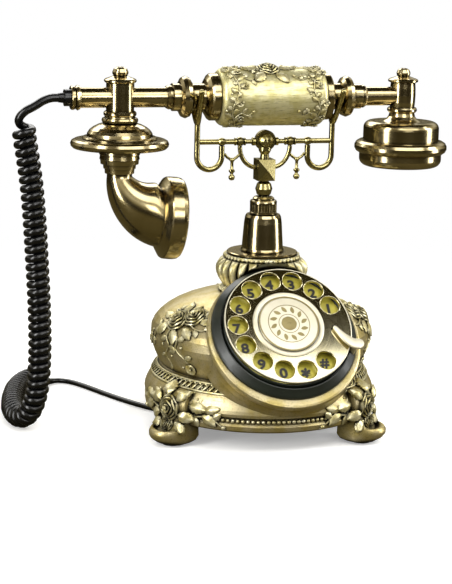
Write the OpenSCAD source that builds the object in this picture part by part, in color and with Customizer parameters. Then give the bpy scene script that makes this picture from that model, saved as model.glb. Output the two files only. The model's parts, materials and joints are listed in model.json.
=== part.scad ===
// French-style cradle telephone: a round resin base on four scroll feet, a slanted
// rotary dial, a turned column and a forked cradle that carries a lever-type handset.
// Origin on the table under the column, +X to the user's right, -Y to the front, +Z up.

/* [Base] */
// Radius of the plinth at its rim
plinth_r = 82; // [80:0.5:84]
// Radius of the waist between plinth and body
waist_r = 72; // [70:0.5:73]
// Height of the waist above the table
waist_z = 47; // [46:0.5:48]
// Largest radius of the egg-shaped body
body_r = 79; // [78:0.5:80]
// Rise of the body above its widest circle
body_rise = 31; // [30:0.5:31]
// Wall thickness of the resin castings
wall = 3.5; // [3:0.5:4]

/* [Feet] */
// Angle of the front feet, from the X axis
front_foot_angle = 37; // [35:1:40]
// Angle of the rear feet, from the X axis
rear_foot_angle = 46; // [44:1:50]
// Turn of the four feet about the column, against the dial
feet_turn = -9; // [-10:1:0]
// Width of a foot
foot_w = 25; // [22:1:27]

/* [Dial] */
// Distance of the dial's centre in front of the column
dial_front = 66; // [65:0.5:67]
// Height of the dial's centre
dial_z = 88; // [87.5:0.5:89]
// Slope of the dial's normal above the horizontal
dial_slope = 43; // [42:0.5:44]
// Radius of the finger wheel
wheel_r = 45; // [44.5:0.5:45]
// Radius of the circle of finger holes
hole_circle_r = 35.8; // [35:0.1:36]
// Radius of one finger hole
hole_r = 7.15; // [6.8:0.05:7.2]
// Angle between neighbouring finger holes
hole_step = 25.7; // [25:0.1:26]

/* [Column] */
// Largest radius of the gadrooned collar
collar_r = 33; // [32:0.5:33.5]
// Radius of the sliding cradle stem
stem_r = 3.65; // [3.5:0.05:3.8]
// Radial play of a running fit
play = 0.06; // [0.04:0.01:0.08]

/* [Cradle] */
// Height of the cross bar
bar_z = 206; // [205:0.5:207]
// Distance of each cradle post from the column
post_x = 49.7; // [49:0.1:50]
// Radius of the cradle rods
rod_r = 2; // [1.8:0.1:2.1]

/* [Handset] */
// Height of the handset's long axis
axis_z = 237.5; // [237:0.5:239]
// Distance of the mouthpiece stem from the column
mouth_x = 105; // [104:0.5:106]
// Distance of the earpiece stem from the column
ear_x = 102.5; // [101:0.5:104]
// Radius of the resin grip
grip_r = 20.3; // [19.5:0.1:20.5]
// Radius of the tie tube that runs through the handset
tie_r = 5; // [4.5:0.1:5.5]

/* [Cord] */
// Diameter of the curled cord
cord_d = 5.8; // [5.6:0.1:6]
// Diameter of the cord's straight tail at the base
lead_d = 3.8; // [3.6:0.1:4]
// Outer radius of the curled stretch
curl_r = 8.3; // [8:0.1:8.5]

/* [Hidden] */
$fn = 96;

resin_gold = "#b9ad79";
antique_brass = "#a8954f";
dark_metal = "#8a7f5e";
black_plastic = "#1b201e";

foot_r_in = 70;
pad_r = 7;
pad_place_r = 84;
rim_z = 15;
cover_r = plinth_r - 4.6;
body_z = 70;
deck_z = 94;
collar_z = 98;
plate_z = 125.6;
cone_z = plate_z + 2;
nut_z = 154;
rod_r_in = 2.5;
bracket_r = 15;

cup_r = wheel_r + 6.5;
bezel_r = 55;
bezel_shift = 3;
bore_r = 39;
button_r = 21.4;
shaft_r = 6;
stem_hole_r = 3.2;
first_hole = 23.5;
hole_count = 12;
gear_w = -34;
gear_teeth = 48;
pinion_teeth = 12;
gear_module = 0.8;
gear_gap = 0.3;

neck_r = 9.4;
ball_z = 172.3;
block_z = 178.5;
block_w = 12.5;
elbow_tilt = 5;
elbow_pivot = [-75.5, 0, 183];
elbow_bend_r = 29.5;
elbow_top_z = 185.2;

// Route of the cord's upper tail, from the strain relief to the first curl
tail_top_route = [
    [-148, 0, 237.5], [-153, 0, 237.3], [-158.5, 0, 235.4], [-164, 0, 232], [-169.5, 0, 229.2],
    [-174.5, 0, 226.6], [-177.4, 0, 223.2], [-177.8, 0, 219.6]
];
// Centre line of the curls that hang, then of those that lie on the table
curl_route = [
    [-171.6, 0, 219], [-171.2, 0, 211], [-169, 0, 197], [-166.2, 0, 176], [-164.2, 0, 151],
    [-162.6, 0, 123], [-161.2, 0, 95], [-160.6, 0, 68], [-161.2, 0, 46], [-162.6, 1, 32],
    [-164.6, 3.4, 22], [-167.4, 8, 14.2], [-170.8, 15, 9.6], [-173.4, 25, 8.5],
    [-173.6, 40, 8.5], [-171.4, 56, 8.5], [-168, 73, 8.5], [-163, 92, 8.5], [-155.4, 110, 8.5],
    [-146, 122, 8.5], [-138.4, 128, 8.5]
];
curl_lands = 12;
// Route of the cord's lower tail, from the last curl to the gland under the base
tail_base_route = [
    [-138.4, 128, 3.1], [-134.6, 131, 2.4], [-128, 134.6, 2], [-121, 134, 2],
    [-114, 128, 2], [-108, 118, 2], [-101, 103, 2], [-93, 85, 2], [-85, 69, 2],
    [-77, 55, 2], [-69, 43, 2], [-62.4, 34.6, 2.6], [-57.4, 29.4, 4.8], [-55, 27, 8.4],
    [-55, 27, 11]
];

// ---------------------------------------------------------------- helpers

function unit(v) = v / norm(v);

// Direction of a route at one of its points
function heading(route, i) =
    i == 0 ? unit(route[1] - route[0])
    : i == len(route) - 1 ? unit(route[i] - route[i - 1])
    : unit(unit(route[i + 1] - route[i]) + unit(route[i] - route[i - 1]));

// One ring of n points round a route point; ref is a direction the route never takes
function ring(p, t, r, n, ref) =
    let (side = unit(cross(ref, t)), up = cross(t, side))
    [for (k = [0:n - 1]) p + r * (cos(360 * k / n) * side + sin(360 * k / n) * up)];

// Directions of a whole route
function headings(route) = [for (i = [0:len(route) - 1]) heading(route, i)];

// Solid swept along a route, with a radius and a direction for each of its points
module swept(route, radii, dirs, n, ref) {
    count = len(route);
    points = [for (i = [0:count - 1]) each ring(route[i], dirs[i], radii[i], n, ref)];
    sides = [
        for (i = [0:count - 2], k = [0:n - 1])
            [i * n + k, (i + 1) * n + k, (i + 1) * n + (k + 1) % n, i * n + (k + 1) % n]
    ];
    first = [for (k = [0:n - 1]) k];
    last = [for (k = [n - 1:-1:0]) (count - 1) * n + k];
    polyhedron(points = points, faces = concat(sides, [first, last]), convexity = 6);
}

// Rod of one radius along a route
module swept_rod(route, r, n = 10, ref = [0, 1, 0]) {
    swept(route, [for (p = route) r], headings(route), n, ref);
}

// Turned part along Z; the outline holds [radius, height] pairs
module turned(outline) {
    rotate_extrude() polygon(outline);
}

// Turned part along the handset's axis; the outline holds [radius, x] pairs
module turned_x(outline) {
    translate([0, 0, axis_z]) rotate([0, 90, 0]) turned(outline);
}

// Straight rod between two points
module rod(a, b, r) {
    d = b - a;
    translate(a)
        rotate([0, acos(d[2] / norm(d)), atan2(d[1], d[0])])
            cylinder(r = r, h = norm(d));
}

// Frame of the dial: local Z is its outward normal, local Y points up its slope
module dial_place() {
    translate([0, -dial_front, dial_z]) rotate([90 - dial_slope, 0, 0]) children();
}

// Coil spring of round wire, with a few flat sides to its wire
module coil_spring(r, wire_r, h, turns, steps = 12) {
    count = turns * steps;
    route = [
        for (i = [0:count])
            [r * cos(360 * i / steps), r * sin(360 * i / steps), wire_r + (h - 2 * wire_r) * i / count]
    ];
    swept_rod(route, wire_r, 5, [0, 0, 1]);
}

// Spur gear with trapezoid teeth and running backlash
module spur_gear(teeth, h) {
    pitch = gear_module * teeth / 2;
    tip = pitch + 0.8 * gear_module;
    root = pitch - 1.1 * gear_module;
    turn = 360 / teeth;
    linear_extrude(h)
        polygon([
            for (i = [0:teeth - 1], q = [[-0.30, root], [-0.10, tip], [0.10, tip], [0.30, root]])
                [q[1] * cos((i + q[0]) * turn), q[1] * sin((i + q[0]) * turn)]
        ]);
}

// ---------------------------------------------------------------- base

// Radius of the plinth's convex shoulder at a share of its height
function shoulder(k) = waist_r + (plinth_r + 1 - waist_r) * (1 - pow(k, 1.6));

shoulder_z = 28;
shoulder_outline = [
    for (k = [0:0.125:1]) [shoulder(k), shoulder_z + (waist_z - shoulder_z) * k]
];
plinth_outline = concat(
    [[plinth_r - 2, rim_z], [plinth_r, 16.5], [plinth_r + 0.6, 19.5], [plinth_r - 1, 21.6],
     [plinth_r - 1, 24.6], [plinth_r + 0.6, 26]],
    shoulder_outline
);

// The whole volume inside the plinth's outer surface
module plinth_envelope() {
    turned(concat([[0, rim_z]], plinth_outline, [[0, waist_z]]));
}

module plinth() {
    color(resin_gold)
        difference() {
            union() {
                turned(concat(
                    plinth_outline,
                    [[waist_r - 12, waist_z], [waist_r - 12, waist_z - wall],
                     [waist_r - 3.4, waist_z - wall], [plinth_r - 8, 36],
                     [plinth_r - 4.4, shoulder_z], [cover_r, rim_z + 2], [cover_r, rim_z]]
                ));
                // bosses for the cover's screws
                for (p = screw_places)
                    translate([p[0], p[1], rim_z + 2]) cylinder(r = 4.4, h = waist_z - rim_z - 4);
            }
            for (p = screw_places) translate([p[0], p[1], rim_z]) cylinder(r = 1.7, h = 9);
            // room for the lower edge of the dial's chassis
            dial_place() translate([0, 0, -26.5]) cylinder(r = bore_r + 0.4, h = 14);
            // opening for the telephone line socket
            translate([-7.5, plinth_r - 14, 18]) cube([15, 20, 13]);
        }
}

// Side outline of a scroll foot: [distance from the column, height] pairs
foot_outline = concat(
    [[foot_r_in, 15], [foot_r_in, 5], [foot_r_in + 2.5, 1.8], [foot_r_in + 7, 1]],
    [for (a = [-90:15:45]) [foot_r_in + 19.5 + 8.5 * cos(a), 9.5 + 8.5 * sin(a)]],
    [[foot_r_in + 22, 14], [foot_r_in + 18, 16], [foot_r_in + 16.5, 22], [foot_r_in + 17, 30],
     [foot_r_in + 14, 38], [foot_r_in + 4, 40], [foot_r_in, 36]]
);

module foot(angle) {
    color(resin_gold)
        difference() {
            rotate([0, 0, angle])
                difference() {
                    rotate([90, 0, 0])
                        linear_extrude(foot_w, center = true) polygon(foot_outline);
                    translate([pad_place_r, 0, 0]) cylinder(r = pad_r, h = 2.5);
                }
            plinth_envelope();
        }
}

foot_angles = [
    for (a = [180 + front_foot_angle, -front_foot_angle, 180 - rear_foot_angle, rear_foot_angle])
        a + feet_turn
];

module foot_front_left() foot(foot_angles[0]);
module foot_front_right() foot(foot_angles[1]);
module foot_rear_left() foot(foot_angles[2]);
module foot_rear_right() foot(foot_angles[3]);

module foot_pads() {
    color(black_plastic)
        for (a = foot_angles)
            rotate([0, 0, a]) translate([pad_place_r, 0, 0]) cylinder(r = pad_r, h = 2.5);
}

screw_r = 66;
screw_places = [for (a = [25:90:295]) screw_r * [cos(a), sin(a)]];
board_x = 62;
board_y = 46;
post_places = [
    for (sx = [-1, 1], sy = [0, 1]) [sx * (board_x / 2 - 5), 8 + sy * (board_y - 12)]
];
speaker_y = -34;
gland_place = [-55, 27];

module bottom_cover() {
    color(black_plastic)
        difference() {
            union() {
                translate([0, 0, rim_z]) cylinder(r = cover_r, h = 2);
                for (p = post_places) translate([p[0], p[1], rim_z + 2]) cylinder(r = 3.5, h = 18);
            }
            for (p = screw_places) translate([p[0], p[1], rim_z - 1]) cylinder(r = 1.7, h = 4);
            translate([gland_place[0], gland_place[1], rim_z - 1]) cylinder(r = 4.2, h = 4);
            for (a = [0:60:300])
                translate([0, speaker_y, rim_z - 1])
                    rotate([0, 0, a]) translate([9, 0, 0]) cylinder(r = 2.4, h = 4);
        }
}

module cover_screws() {
    color("silver")
        for (p = screw_places)
            translate([p[0], p[1], 0]) {
                translate([0, 0, rim_z - 1.6]) cylinder(r = 3.2, h = 1.6);
                translate([0, 0, rim_z]) cylinder(r = 1.7, h = 9);
            }
}

module ballast_weight() {
    color("slategray") translate([-20, 12, rim_z + 2]) cube([40, 30, 12]);
}

module loudspeaker() {
    color("dimgray")
        translate([0, speaker_y, rim_z + 2])
            turned([[0, 2.5], [13, 0.6], [18, 0], [20, 0], [20, 3], [14, 8], [10, 9], [10, 15], [0, 15]]);
}

module circuit_board() {
    color("darkgreen")
        translate([0, 0, rim_z + 20]) {
            translate([-board_x / 2, 3, 0]) cube([board_x, board_y, 1.6]);
            translate([-12, 16, 1.6]) cube([18, 10, 2.4]);
            translate([16, 30, 1.6]) cylinder(r = 5, h = 9);
            translate([-24, 32, 1.6]) cube([9, 9, 5]);
        }
}

jack_y = plinth_r - 13;
module line_jack() {
    color("#c9c3ae")
        difference() {
            translate([-7.5, jack_y, 18]) cube([15, 13.2, 13]);
            translate([-4.9, jack_y + 2, 20.6]) cube([9.8, 20, 6.8]);
            translate([-3, jack_y + 2, 27]) cube([6, 20, 1.6]);
        }
}

module cord_gland() {
    color(black_plastic)
        translate([gland_place[0], gland_place[1], 0])
            turned([[0, 11], [3.8, 11], [4.6, 13], [6.5, 13.4], [6.5, rim_z], [4.2, rim_z],
                    [4.2, rim_z + 2], [5.8, rim_z + 2], [5.4, rim_z + 5], [0, rim_z + 5]]);
}

// ---------------------------------------------------------------- body

// Lower half-height that makes the egg meet the waist
body_drop = (body_z - waist_z) / sqrt(1 - pow(waist_r / body_r, 2));

function egg_r(r, rise, drop, z) =
    r * sqrt(1 - pow((z - body_z) / (z > body_z ? rise : drop), 2));

egg_top_angle = 80;
egg_outline = concat(
    [[0, waist_z]],
    [for (z = [waist_z:4:body_z]) [egg_r(body_r, body_rise, body_drop, z), z]],
    [for (a = [6:7.4:egg_top_angle]) [body_r * cos(a), body_z + body_rise * sin(a)]],
    [[8, body_z + body_rise - 0.2], [0, body_z + body_rise]]
);
egg_inner_outline = concat(
    [[0, waist_z - 1], [waist_r - wall - 6, waist_z - 1], [waist_r - wall - 0.6, waist_z + 2]],
    [for (z = [53:6:body_z]) [egg_r(body_r, body_rise, body_drop, z) - wall, z]],
    [for (a = [8:10:48]) [(body_r - wall) * cos(a), body_z + (body_rise - wall) * sin(a)]],
    [[(body_r - wall) * cos(58), deck_z - 0.5], [0, deck_z - 0.5]]
);

// Outside of the dial's barrel, which sits a little lower than the dial itself
module barrel_envelope() {
    dial_place()
        translate([0, -bezel_shift, 0])
            turned([[0, -36], [bezel_r, -36], [bezel_r - 2.2, -27], [bezel_r - 2.4, -21],
                    [bezel_r - 0.4, -17], [bezel_r, -14.8], [bezel_r - 0.8, -13],
                    [bezel_r - 2, -12.4], [0, -12.4]]);
}

module body_shell() {
    color(resin_gold)
        difference() {
            union() {
                turned(egg_outline);
                barrel_envelope();
            }
            turned(egg_inner_outline);
            dial_place() {
                translate([0, 0, -16]) cylinder(r = cup_r, h = 20);
                translate([0, 0, -33]) cylinder(r = bore_r, h = 20);
            }
            plinth_envelope();
            cylinder(r = plinth_r + 2, h = shoulder_z);
            cylinder(r = 9, h = 120);
        }
}

gadroon_outline = [
    [9, collar_z], [29, collar_z], [30.2, collar_z + 1.5], [29.4, collar_z + 3.4],
    [27.4, collar_z + 4.4], [29, collar_z + 7], [31.6, collar_z + 11], [32.8, collar_z + 15],
    [collar_r, collar_z + 17.5], [31.6, collar_z + 21.5], [28.4, collar_z + 24.4],
    [26.4, collar_z + 24.8], [27.2, collar_z + 26.2], [26.4, plate_z], [9, plate_z]
];

module gadroon_collar() {
    color(resin_gold)
        difference() {
            turned(gadroon_outline);
            turned(egg_outline);
            barrel_envelope();
            dial_place() translate([0, 0, -16.5]) cylinder(r = cup_r + 0.5, h = 40);
        }
}

module collar_plate() {
    color(dark_metal)
        turned([[4, plate_z], [24.4, plate_z], [25.2, plate_z + 0.7], [25.2, cone_z - 0.5],
                [24.7, cone_z], [4, cone_z]]);
}

module column_cone() {
    color(dark_metal)
        turned([[9.5, cone_z], [15.3, cone_z], [15.4, cone_z + 1.2], [14.8, cone_z + 2.4],
                [13.5, 148], [12.9, 152.2], [12, nut_z], [8, nut_z], [8, nut_z - 2],
                [9.5, nut_z - 2]]);
}

module column_nut() {
    color(dark_metal)
        turned([[stem_r + play, nut_z], [9.4, nut_z], [9.65, nut_z + 0.5], [9.65, nut_z + 9],
                [9.2, nut_z + 10], [7.7, nut_z + 10.4], [7.7, nut_z + 11.6], [6.4, nut_z + 12.7],
                [stem_r + play, nut_z + 12.7]]);
}

// ---------------------------------------------------------------- hook switch

pivot = [-11, 88.6];
module hook_bracket() {
    color("silver") {
        difference() {
            translate([0, 0, deck_z - 2.5]) cylinder(r = bracket_r, h = 2);
            translate([0, 0, deck_z - 3]) cylinder(r = 6.5, h = 4);
        }
        for (y = [4, -5.2])
            difference() {
                translate([pivot[0] - 3, y, 84]) cube([6, 1.2, deck_z - 2.5 - 84]);
                translate([pivot[0], y - 1, pivot[1]]) rotate([-90, 0, 0]) cylinder(r = 1.2, h = 4);
            }
        translate([11, -4, 68]) cube([1.6, 8, deck_z - 2.5 - 68]);
    }
}

module hook_lever() {
    color("gainsboro") {
        translate([pivot[0], -3, pivot[1] - 1.8]) cube([15, 6, 1.8]);
        translate([pivot[0], -3, pivot[1]]) rotate([-90, 0, 0]) cylinder(r = 1.8, h = 6);
        translate([pivot[0], -5.2, pivot[1]])
            rotate([-90, 0, 0]) cylinder(r = 1.2 - play, h = 10.4);
    }
}

module hook_switch() {
    color("black") {
        translate([-7, -4, 70]) cube([18, 8, 12]);
        translate([-1, -1.5, 82]) cube([3, 3, 4.5]);
    }
}

module cradle_spring() {
    color("silver") translate([0, 0, cone_z + 0.1]) coil_spring(5.6, 0.6, 12, 6);
}

// ---------------------------------------------------------------- cradle

boss_z = bar_z + 0.7;

module pyramid(side) {
    h = block_w / 2;
    translate([0, side * block_w / 2, block_z + 7.55])
        rotate([side * -90, 0, 0])
            polyhedron(
                points = [[-h, -7.5, 0], [h, -7.5, 0], [h, 7.5, 0], [-h, 7.5, 0], [0, 0, 2.9]],
                faces = [[0, 1, 2, 3], [1, 0, 4], [2, 1, 4], [3, 2, 4], [0, 3, 4]]
            );
}

module cradle_stem() {
    color(antique_brass) {
        turned([[0, pivot[1] + 0.02], [rod_r_in, pivot[1] + 0.02], [rod_r_in, 140], [8, 140], [8, 143],
                [stem_r, 143.5], [stem_r, 167.2], [5, 168.4], [6.15, ball_z], [5, 176],
                [3.4, 177.4], [3.6, block_z], [0, block_z]]);
        translate([-block_w / 2, -block_w / 2, block_z]) cube([block_w, block_w, 15.1]);
        pyramid(1);
        pyramid(-1);
        turned([[0, block_z + 15.1], [3.4, block_z + 15.1], [3, 197], [4.4, 199.6], [4.4, bar_z - 4],
                [0, bar_z - 4]]);
    }
    color(antique_brass)
        translate([0, 0, boss_z])
            rotate([90, 0, 0])
                turned([[0, -6.4], [2.6, -6], [4.6, -4.4], [5.3, -3], [6.8, -3], [7.4, -2], [7.4, 2],
                        [6.8, 3], [5.3, 3], [4.6, 4.4], [2.6, 6], [0, 6.4]]);
}

// Half of the cross bar with its turned rings, from the boss to the post
bar_outline = [
    [1.4, 7.1], [2.9, 7.5], [2.9, 9.4], [1.7, 10.2], [1.7, 14.2], [2.7, 14.6], [2.7, 15.6], [1.9, 16],
    [2.9, 16.8], [3.35, 18.5], [2.9, 20.2], [1.9, 21], [2.7, 21.4], [2.7, 22.4], [1.9, 22.8],
    [1.9, 29.2], [2.5, 30], [2.9, 31.7], [2.5, 33.4], [1.9, 34.2], [1.9, post_x - rod_r + 0.3],
    [0, post_x - rod_r + 0.3], [0, 7.1]
];

module cradle_bar() {
    color(antique_brass)
        difference() {
            for (side = [-1, 1])
                translate([0, 0, bar_z]) rotate([0, side * 90, 0]) turned(bar_outline);
            for (side = [-1, 1])
                translate([side * post_x, 0, bar_z - 6]) cylinder(r = rod_r, h = 12);
            translate([0, 4, boss_z]) rotate([90, 0, 0]) cylinder(r = 7.4, h = 8);
        }
}

hook_r = 9;
hook_z = 195.5;
fork_z = 219.5;
brace_x = 18.5;
// One arm of the fork's V, in [y, z] pairs
fork_arm = [[2.6, 220.6], [5.4, 224], [8, 228.2], [10.9, 232.8], [14.2, 237.8], [17.4, 242.6]];

// One side of the cradle: post, hook, fork and brace, drawn for the right-hand side
module frame_half() {
    hook_x = post_x - 2 * hook_r;
    swept_rod(
        concat(
            [[post_x, 0, fork_z + 1], [post_x, 0, 210]],
            [for (a = [0:15:180])
                [post_x - hook_r + hook_r * cos(a), 0, hook_z - hook_r * sin(a)]],
            [[hook_x, 0, bar_z - 2.9]]
        ),
        rod_r, 12
    );
    for (side = [-1, 1])
        swept_rod(
            concat([[post_x, 0, fork_z]],
                   [for (q = fork_arm) [post_x + 0.1 * q[0], side * q[0], q[1]]]),
            rod_r, 12, [1, 0, 0]
        );
    swept_rod(
        [for (a = [0:15:90])
            [brace_x - (brace_x - block_w / 2) * (1 - cos(a)), 0, bar_z - 3.3 - 15.2 * sin(a)]],
        1.6, 10
    );
}

module cradle_frame_left() color(antique_brass) mirror([1, 0, 0]) frame_half();
module cradle_frame_right() color(antique_brass) frame_half();

pendant_x = 24;
module pendant_half() {
    swept_rod([[29.6, 0, 197.4], [27.6, 0, 195], [pendant_x + 0.6, 0, 193.2]], 1, 8);
    swept_rod([[18.2, 0, 197.2], [20.6, 0, 195], [pendant_x - 0.6, 0, 193.2]], 1, 8);
    translate([pendant_x, 0, 0])
        turned([[0, 194.6], [1.7, 194], [1.9, 192.6], [1.1, 191.6], [1.1, 186.6], [2.1, 186],
                [2.1, 184.6], [1.1, 183.6], [1.2, 182.6], [2.2, 181.4], [2.2, 180], [1.3, 178.7],
                [0, 178.4]]);
}

module pendants() {
    color(antique_brass) {
        pendant_half();
        mirror([1, 0, 0]) pendant_half();
    }
}

// ---------------------------------------------------------------- dial

stop_angle = -21;
module stop_post_outline(grow = 0) {
    rotate(stop_angle) translate([cup_r - 5.4 - grow, -3.4 - grow]) square([4.6 + 2 * grow, 6.8 + 2 * grow]);
}

module dial_cup() {
    color(black_plastic)
        dial_place()
            difference() {
                turned([[8, -16], [cup_r, -16], [cup_r, -11.2], [cup_r - 0.8, -10.2],
                        [wheel_r + 1.9, -6.6], [wheel_r + 1.2, -6.4], [wheel_r + 0.8, -7],
                        [wheel_r + 0.8, -12], [8, -12]]);
                translate([0, 0, -12]) linear_extrude(12) stop_post_outline();
            }
}

// Height of the numbers' face under the wheel's top
number_w = -6;
module number_plate() {
    color("#8f8a2e")
        dial_place()
            turned([[8, -12], [wheel_r - 1.8, -12], [wheel_r - 1.8, number_w], [26, number_w],
                    [26, number_w - 3], [8, number_w - 3]]);
}

module finger_wheel() {
    color("#c9c2a2")
        dial_place()
            difference() {
                turned([[button_r + 0.6, -2.4], [wheel_r - 0.4, -2.4], [wheel_r, -2],
                        [wheel_r, -0.6], [wheel_r - 0.6, 0], [button_r + 0.6, 0]]);
                for (i = [0:hole_count - 1])
                    rotate([0, 0, first_hole + i * hole_step])
                        translate([hole_circle_r, 0, -4]) cylinder(r = hole_r, h = 8);
            }
}

module centre_ring() {
    color("#ddd8bd")
        dial_place()
            turned([[button_r + 0.6, 0], [25.3, 0], [25.1, 0.8], [24.4, 1.2], [23, 1.2],
                    [button_r + 0.6, 0.9]]);
}

module dial_shaft() {
    color("silver")
        dial_place()
            turned([[stem_hole_r, -40], [shaft_r, -40], [shaft_r, -7], [24.5, -6.4], [24.5, -2.4],
                    [stem_hole_r, -2.4]]);
}

module dial_chassis() {
    color("silver")
        dial_place() {
            difference() {
                union() {
                    translate([0, 0, -24]) cylinder(r = bore_r - 0.5, h = 2);
                    translate([0, 0, -22]) cylinder(r = 9, h = 4);
                    for (a = [30:120:270])
                        rotate([0, 0, a]) translate([bore_r - 5, 0, -23]) cylinder(r = 3, h = 7);
                }
                translate([0, 0, -26]) cylinder(r = shaft_r + play, h = 12);
            }
            // pin that carries the governor
            translate([0, governor_y, -37]) cylinder(r = 1.5, h = 14);
            for (side = [-1, 1]) translate([side * 27 - 2, -3, -54]) cube([4, 6, 31]);
            translate([-29, -6, -55]) cube([58, 12, 2]);
        }
}

module drive_gear() {
    color("goldenrod")
        dial_place()
            difference() {
                translate([0, 0, gear_w]) spur_gear(gear_teeth, 2.5);
                translate([0, 0, gear_w - 1]) cylinder(r = shaft_r, h = 6);
            }
}

governor_y = gear_module * (gear_teeth + pinion_teeth) / 2 + gear_gap;

module governor() {
    color("goldenrod")
        dial_place()
            translate([0, governor_y, 0])
                difference() {
                    union() {
                        translate([0, 0, gear_w - 0.3])
                            rotate([0, 0, -90 + 180 / pinion_teeth]) spur_gear(pinion_teeth, 3.2);
                        translate([0, 0, gear_w + 3.2]) cylinder(r = 8.5, h = 5);
                        translate([0, 0, gear_w + 2.9]) cylinder(r = 3, h = 0.4);
                    }
                    translate([0, 0, gear_w - 2]) cylinder(r = 1.5 + play, h = 14);
                }
}

// Flat spiral spring round the dial shaft
module return_spring() {
    steps = 90;
    grow = 6.2 / steps;
    color("steelblue")
        dial_place()
            translate([0, 0, -29.4])
                linear_extrude(3)
                    polygon(concat(
                        [for (i = [0:steps]) (6.7 + grow * i) * [cos(12 * i), sin(12 * i)]],
                        [for (i = [steps:-1:0]) (7.2 + grow * i) * [cos(12 * i), sin(12 * i)]]
                    ));
}

module speaker_button() {
    color("#d8d4b4")
        dial_place()
            turned([[0, -43], [2, -43], [4.4, -43], [4.4, -41.6], [stem_hole_r - play, -41.6],
                    [stem_hole_r - play, -1], [button_r - 0.3, -1], [button_r, -0.6],
                    [button_r, 0.7], [button_r - 0.7, 1.4], [14, 1.7], [0, 1.8]]);
}

module button_switch() {
    color("black")
        dial_place() {
            translate([-6, -6, -53]) cube([12, 12, 6]);
            translate([0, 0, -47]) cylinder(r = 1.5, h = 2.3);
        }
}

// S-shaped finger stop, fixed beside the wheel and reaching over it
stop_curve = [
    [49.6, -19.6], [46.6, -18.8], [43.6, -18.4], [40.6, -16.6], [37.6, -13.8], [35, -10.4],
    [32.8, -7], [31.2, -4.4]
];
stop_half = [3.8, 3.7, 3.3, 2.8, 2.3, 1.9, 1.6, 1.1];

function stop_normal(i) =
    let (a = stop_curve[max(i - 1, 0)], b = stop_curve[min(i + 1, len(stop_curve) - 1)],
         d = (b - a) / norm(b - a))
    [-d[1], d[0]];

module finger_stop() {
    last = len(stop_curve) - 1;
    color("#cfc8a6")
        dial_place() {
            translate([0, 0, 1.6])
                linear_extrude(2)
                    polygon(concat(
                        [for (a = [-60:30:60]) stop_curve[0] + stop_half[0] * [cos(a), sin(a)]],
                        [for (i = [0:last]) stop_curve[i] - stop_half[i] * stop_normal(i)],
                        [for (i = [last:-1:1]) stop_curve[i] + stop_half[i] * stop_normal(i)]
                    ));
            translate([0, 0, -12]) linear_extrude(13.6) stop_post_outline();
        }
}

// ---------------------------------------------------------------- handset

module grip_barrel() {
    e = 6;
    color(resin_gold)
        turned_x(concat(
            [[tie_r, -36.4]],
            [for (a = [0:15:90]) [grip_r - e + e * sin(a), -36.4 + e - e * cos(a)]],
            [[grip_r - 0.4, -12], [grip_r - 0.4, 16]],
            [for (a = [90:-15:0]) [grip_r - e + e * sin(a), 40.6 - e + e * cos(a)]],
            [[tie_r, 40.6]]
        ));
}

module tie_tube() {
    color("silver")
        turned_x([[tie_r - 1.2, -95], [tie_r, -95], [tie_r, 93], [tie_r - 1.2, 93]]);
}

module neck_left() {
    color(dark_metal)
        turned_x([[tie_r, -36.4], [15.8, -36.4], [16.4, -36.9], [16.4, -41.6], [15.6, -42.8],
                  [12.4, -44.8], [neck_r, -45.8], [neck_r, -54.4], [11, -55], [13.6, -56.6],
                  [14.7, -59.2], [13.6, -61.8], [11, -63.2], [9.65, -63.6], [9.65, -68.4],
                  [8.2, -69], [8.5, -70.8], [7.6, -72.7], [tie_r, -72.7]]);
}

module neck_right() {
    color(dark_metal)
        turned_x([[tie_r, 40.6], [15.8, 40.6], [16.4, 41.1], [16.4, 45], [15.6, 46], [12.4, 47],
                  [neck_r, 47.4], [neck_r, 54.2], [11, 54.8], [13.5, 56.4], [14.5, 59],
                  [13.5, 61.6], [11, 63], [9, 63.6], [8.8, 64.4], [8.8, 69.8], [7.6, 70.4],
                  [8.2, 72], [7.2, 73.5], [tie_r, 73.5]]);
}

module sleeve_cut(x, r) {
    translate([x, 0, axis_z - 12]) cylinder(r = r, h = 24);
}

tube_r = 7;
module tube_left() {
    color(dark_metal)
        difference() {
            turned_x([[3.6, -139.6], [7.8, -139.6], [8.3, -139], [8.3, -137.4], [7.4, -136.6],
                      [8, -136], [8.75, -134.8], [8, -133.4], [tube_r, -133.1],
                      [tube_r, -72.7], [tie_r, -72.7], [tie_r, -130], [3.6, -132]]);
            sleeve_cut(-mouth_x, 9.7);
        }
}

module tube_right() {
    color(dark_metal)
        difference() {
            turned_x([[tie_r, 73.5], [tube_r - 0.3, 73.5], [tube_r - 0.3, ear_x], [tie_r, ear_x]]);
            sleeve_cut(ear_x, 9.3);
        }
}

module mouth_sleeve() {
    color(dark_metal)
        translate([-mouth_x, 0, 0])
            turned([[8.2, 228.2], [9.7, 228.2], [9.7, 247.8], [10.4, 247.8], [11.2, 248.6],
                    [11.2, 249.6], [10.4, 250.4], [6.4, 251.8], [4.8, 252.6], [5.5, 253.8],
                    [5.6, 255], [4.6, 257.2], [2.6, 258.4], [0, 258.8], [0, 247.8],
                    [8.2, 247.8]]);
}

module mouth_dome() {
    color(dark_metal)
        translate([-mouth_x, 0, 0])
            turned(concat(
                [[8.2, 228.2], [10.6, 228.2], [11.4, 227.2], [11.4, 225.8], [10.6, 224.6],
                 [10.8, 223.8], [12.2, 223.4], [12.7, 222.2], [12.4, 220.8]],
                [for (a = [60:-12:0]) [23 * cos(a), 211 + 10.6 * sin(a)]],
                [[25.4, 210.6], [26, 209.8], [26, 209], [31.6, 208.8], [33.4, 207.8], [34.2, 206],
                 [33.8, 204.2], [32.4, 202.8], [30, 202.4], [13, 202.4], [13, 205], [20, 208],
                 [16, 216], [8.2, 219]]
            ));
}

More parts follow.
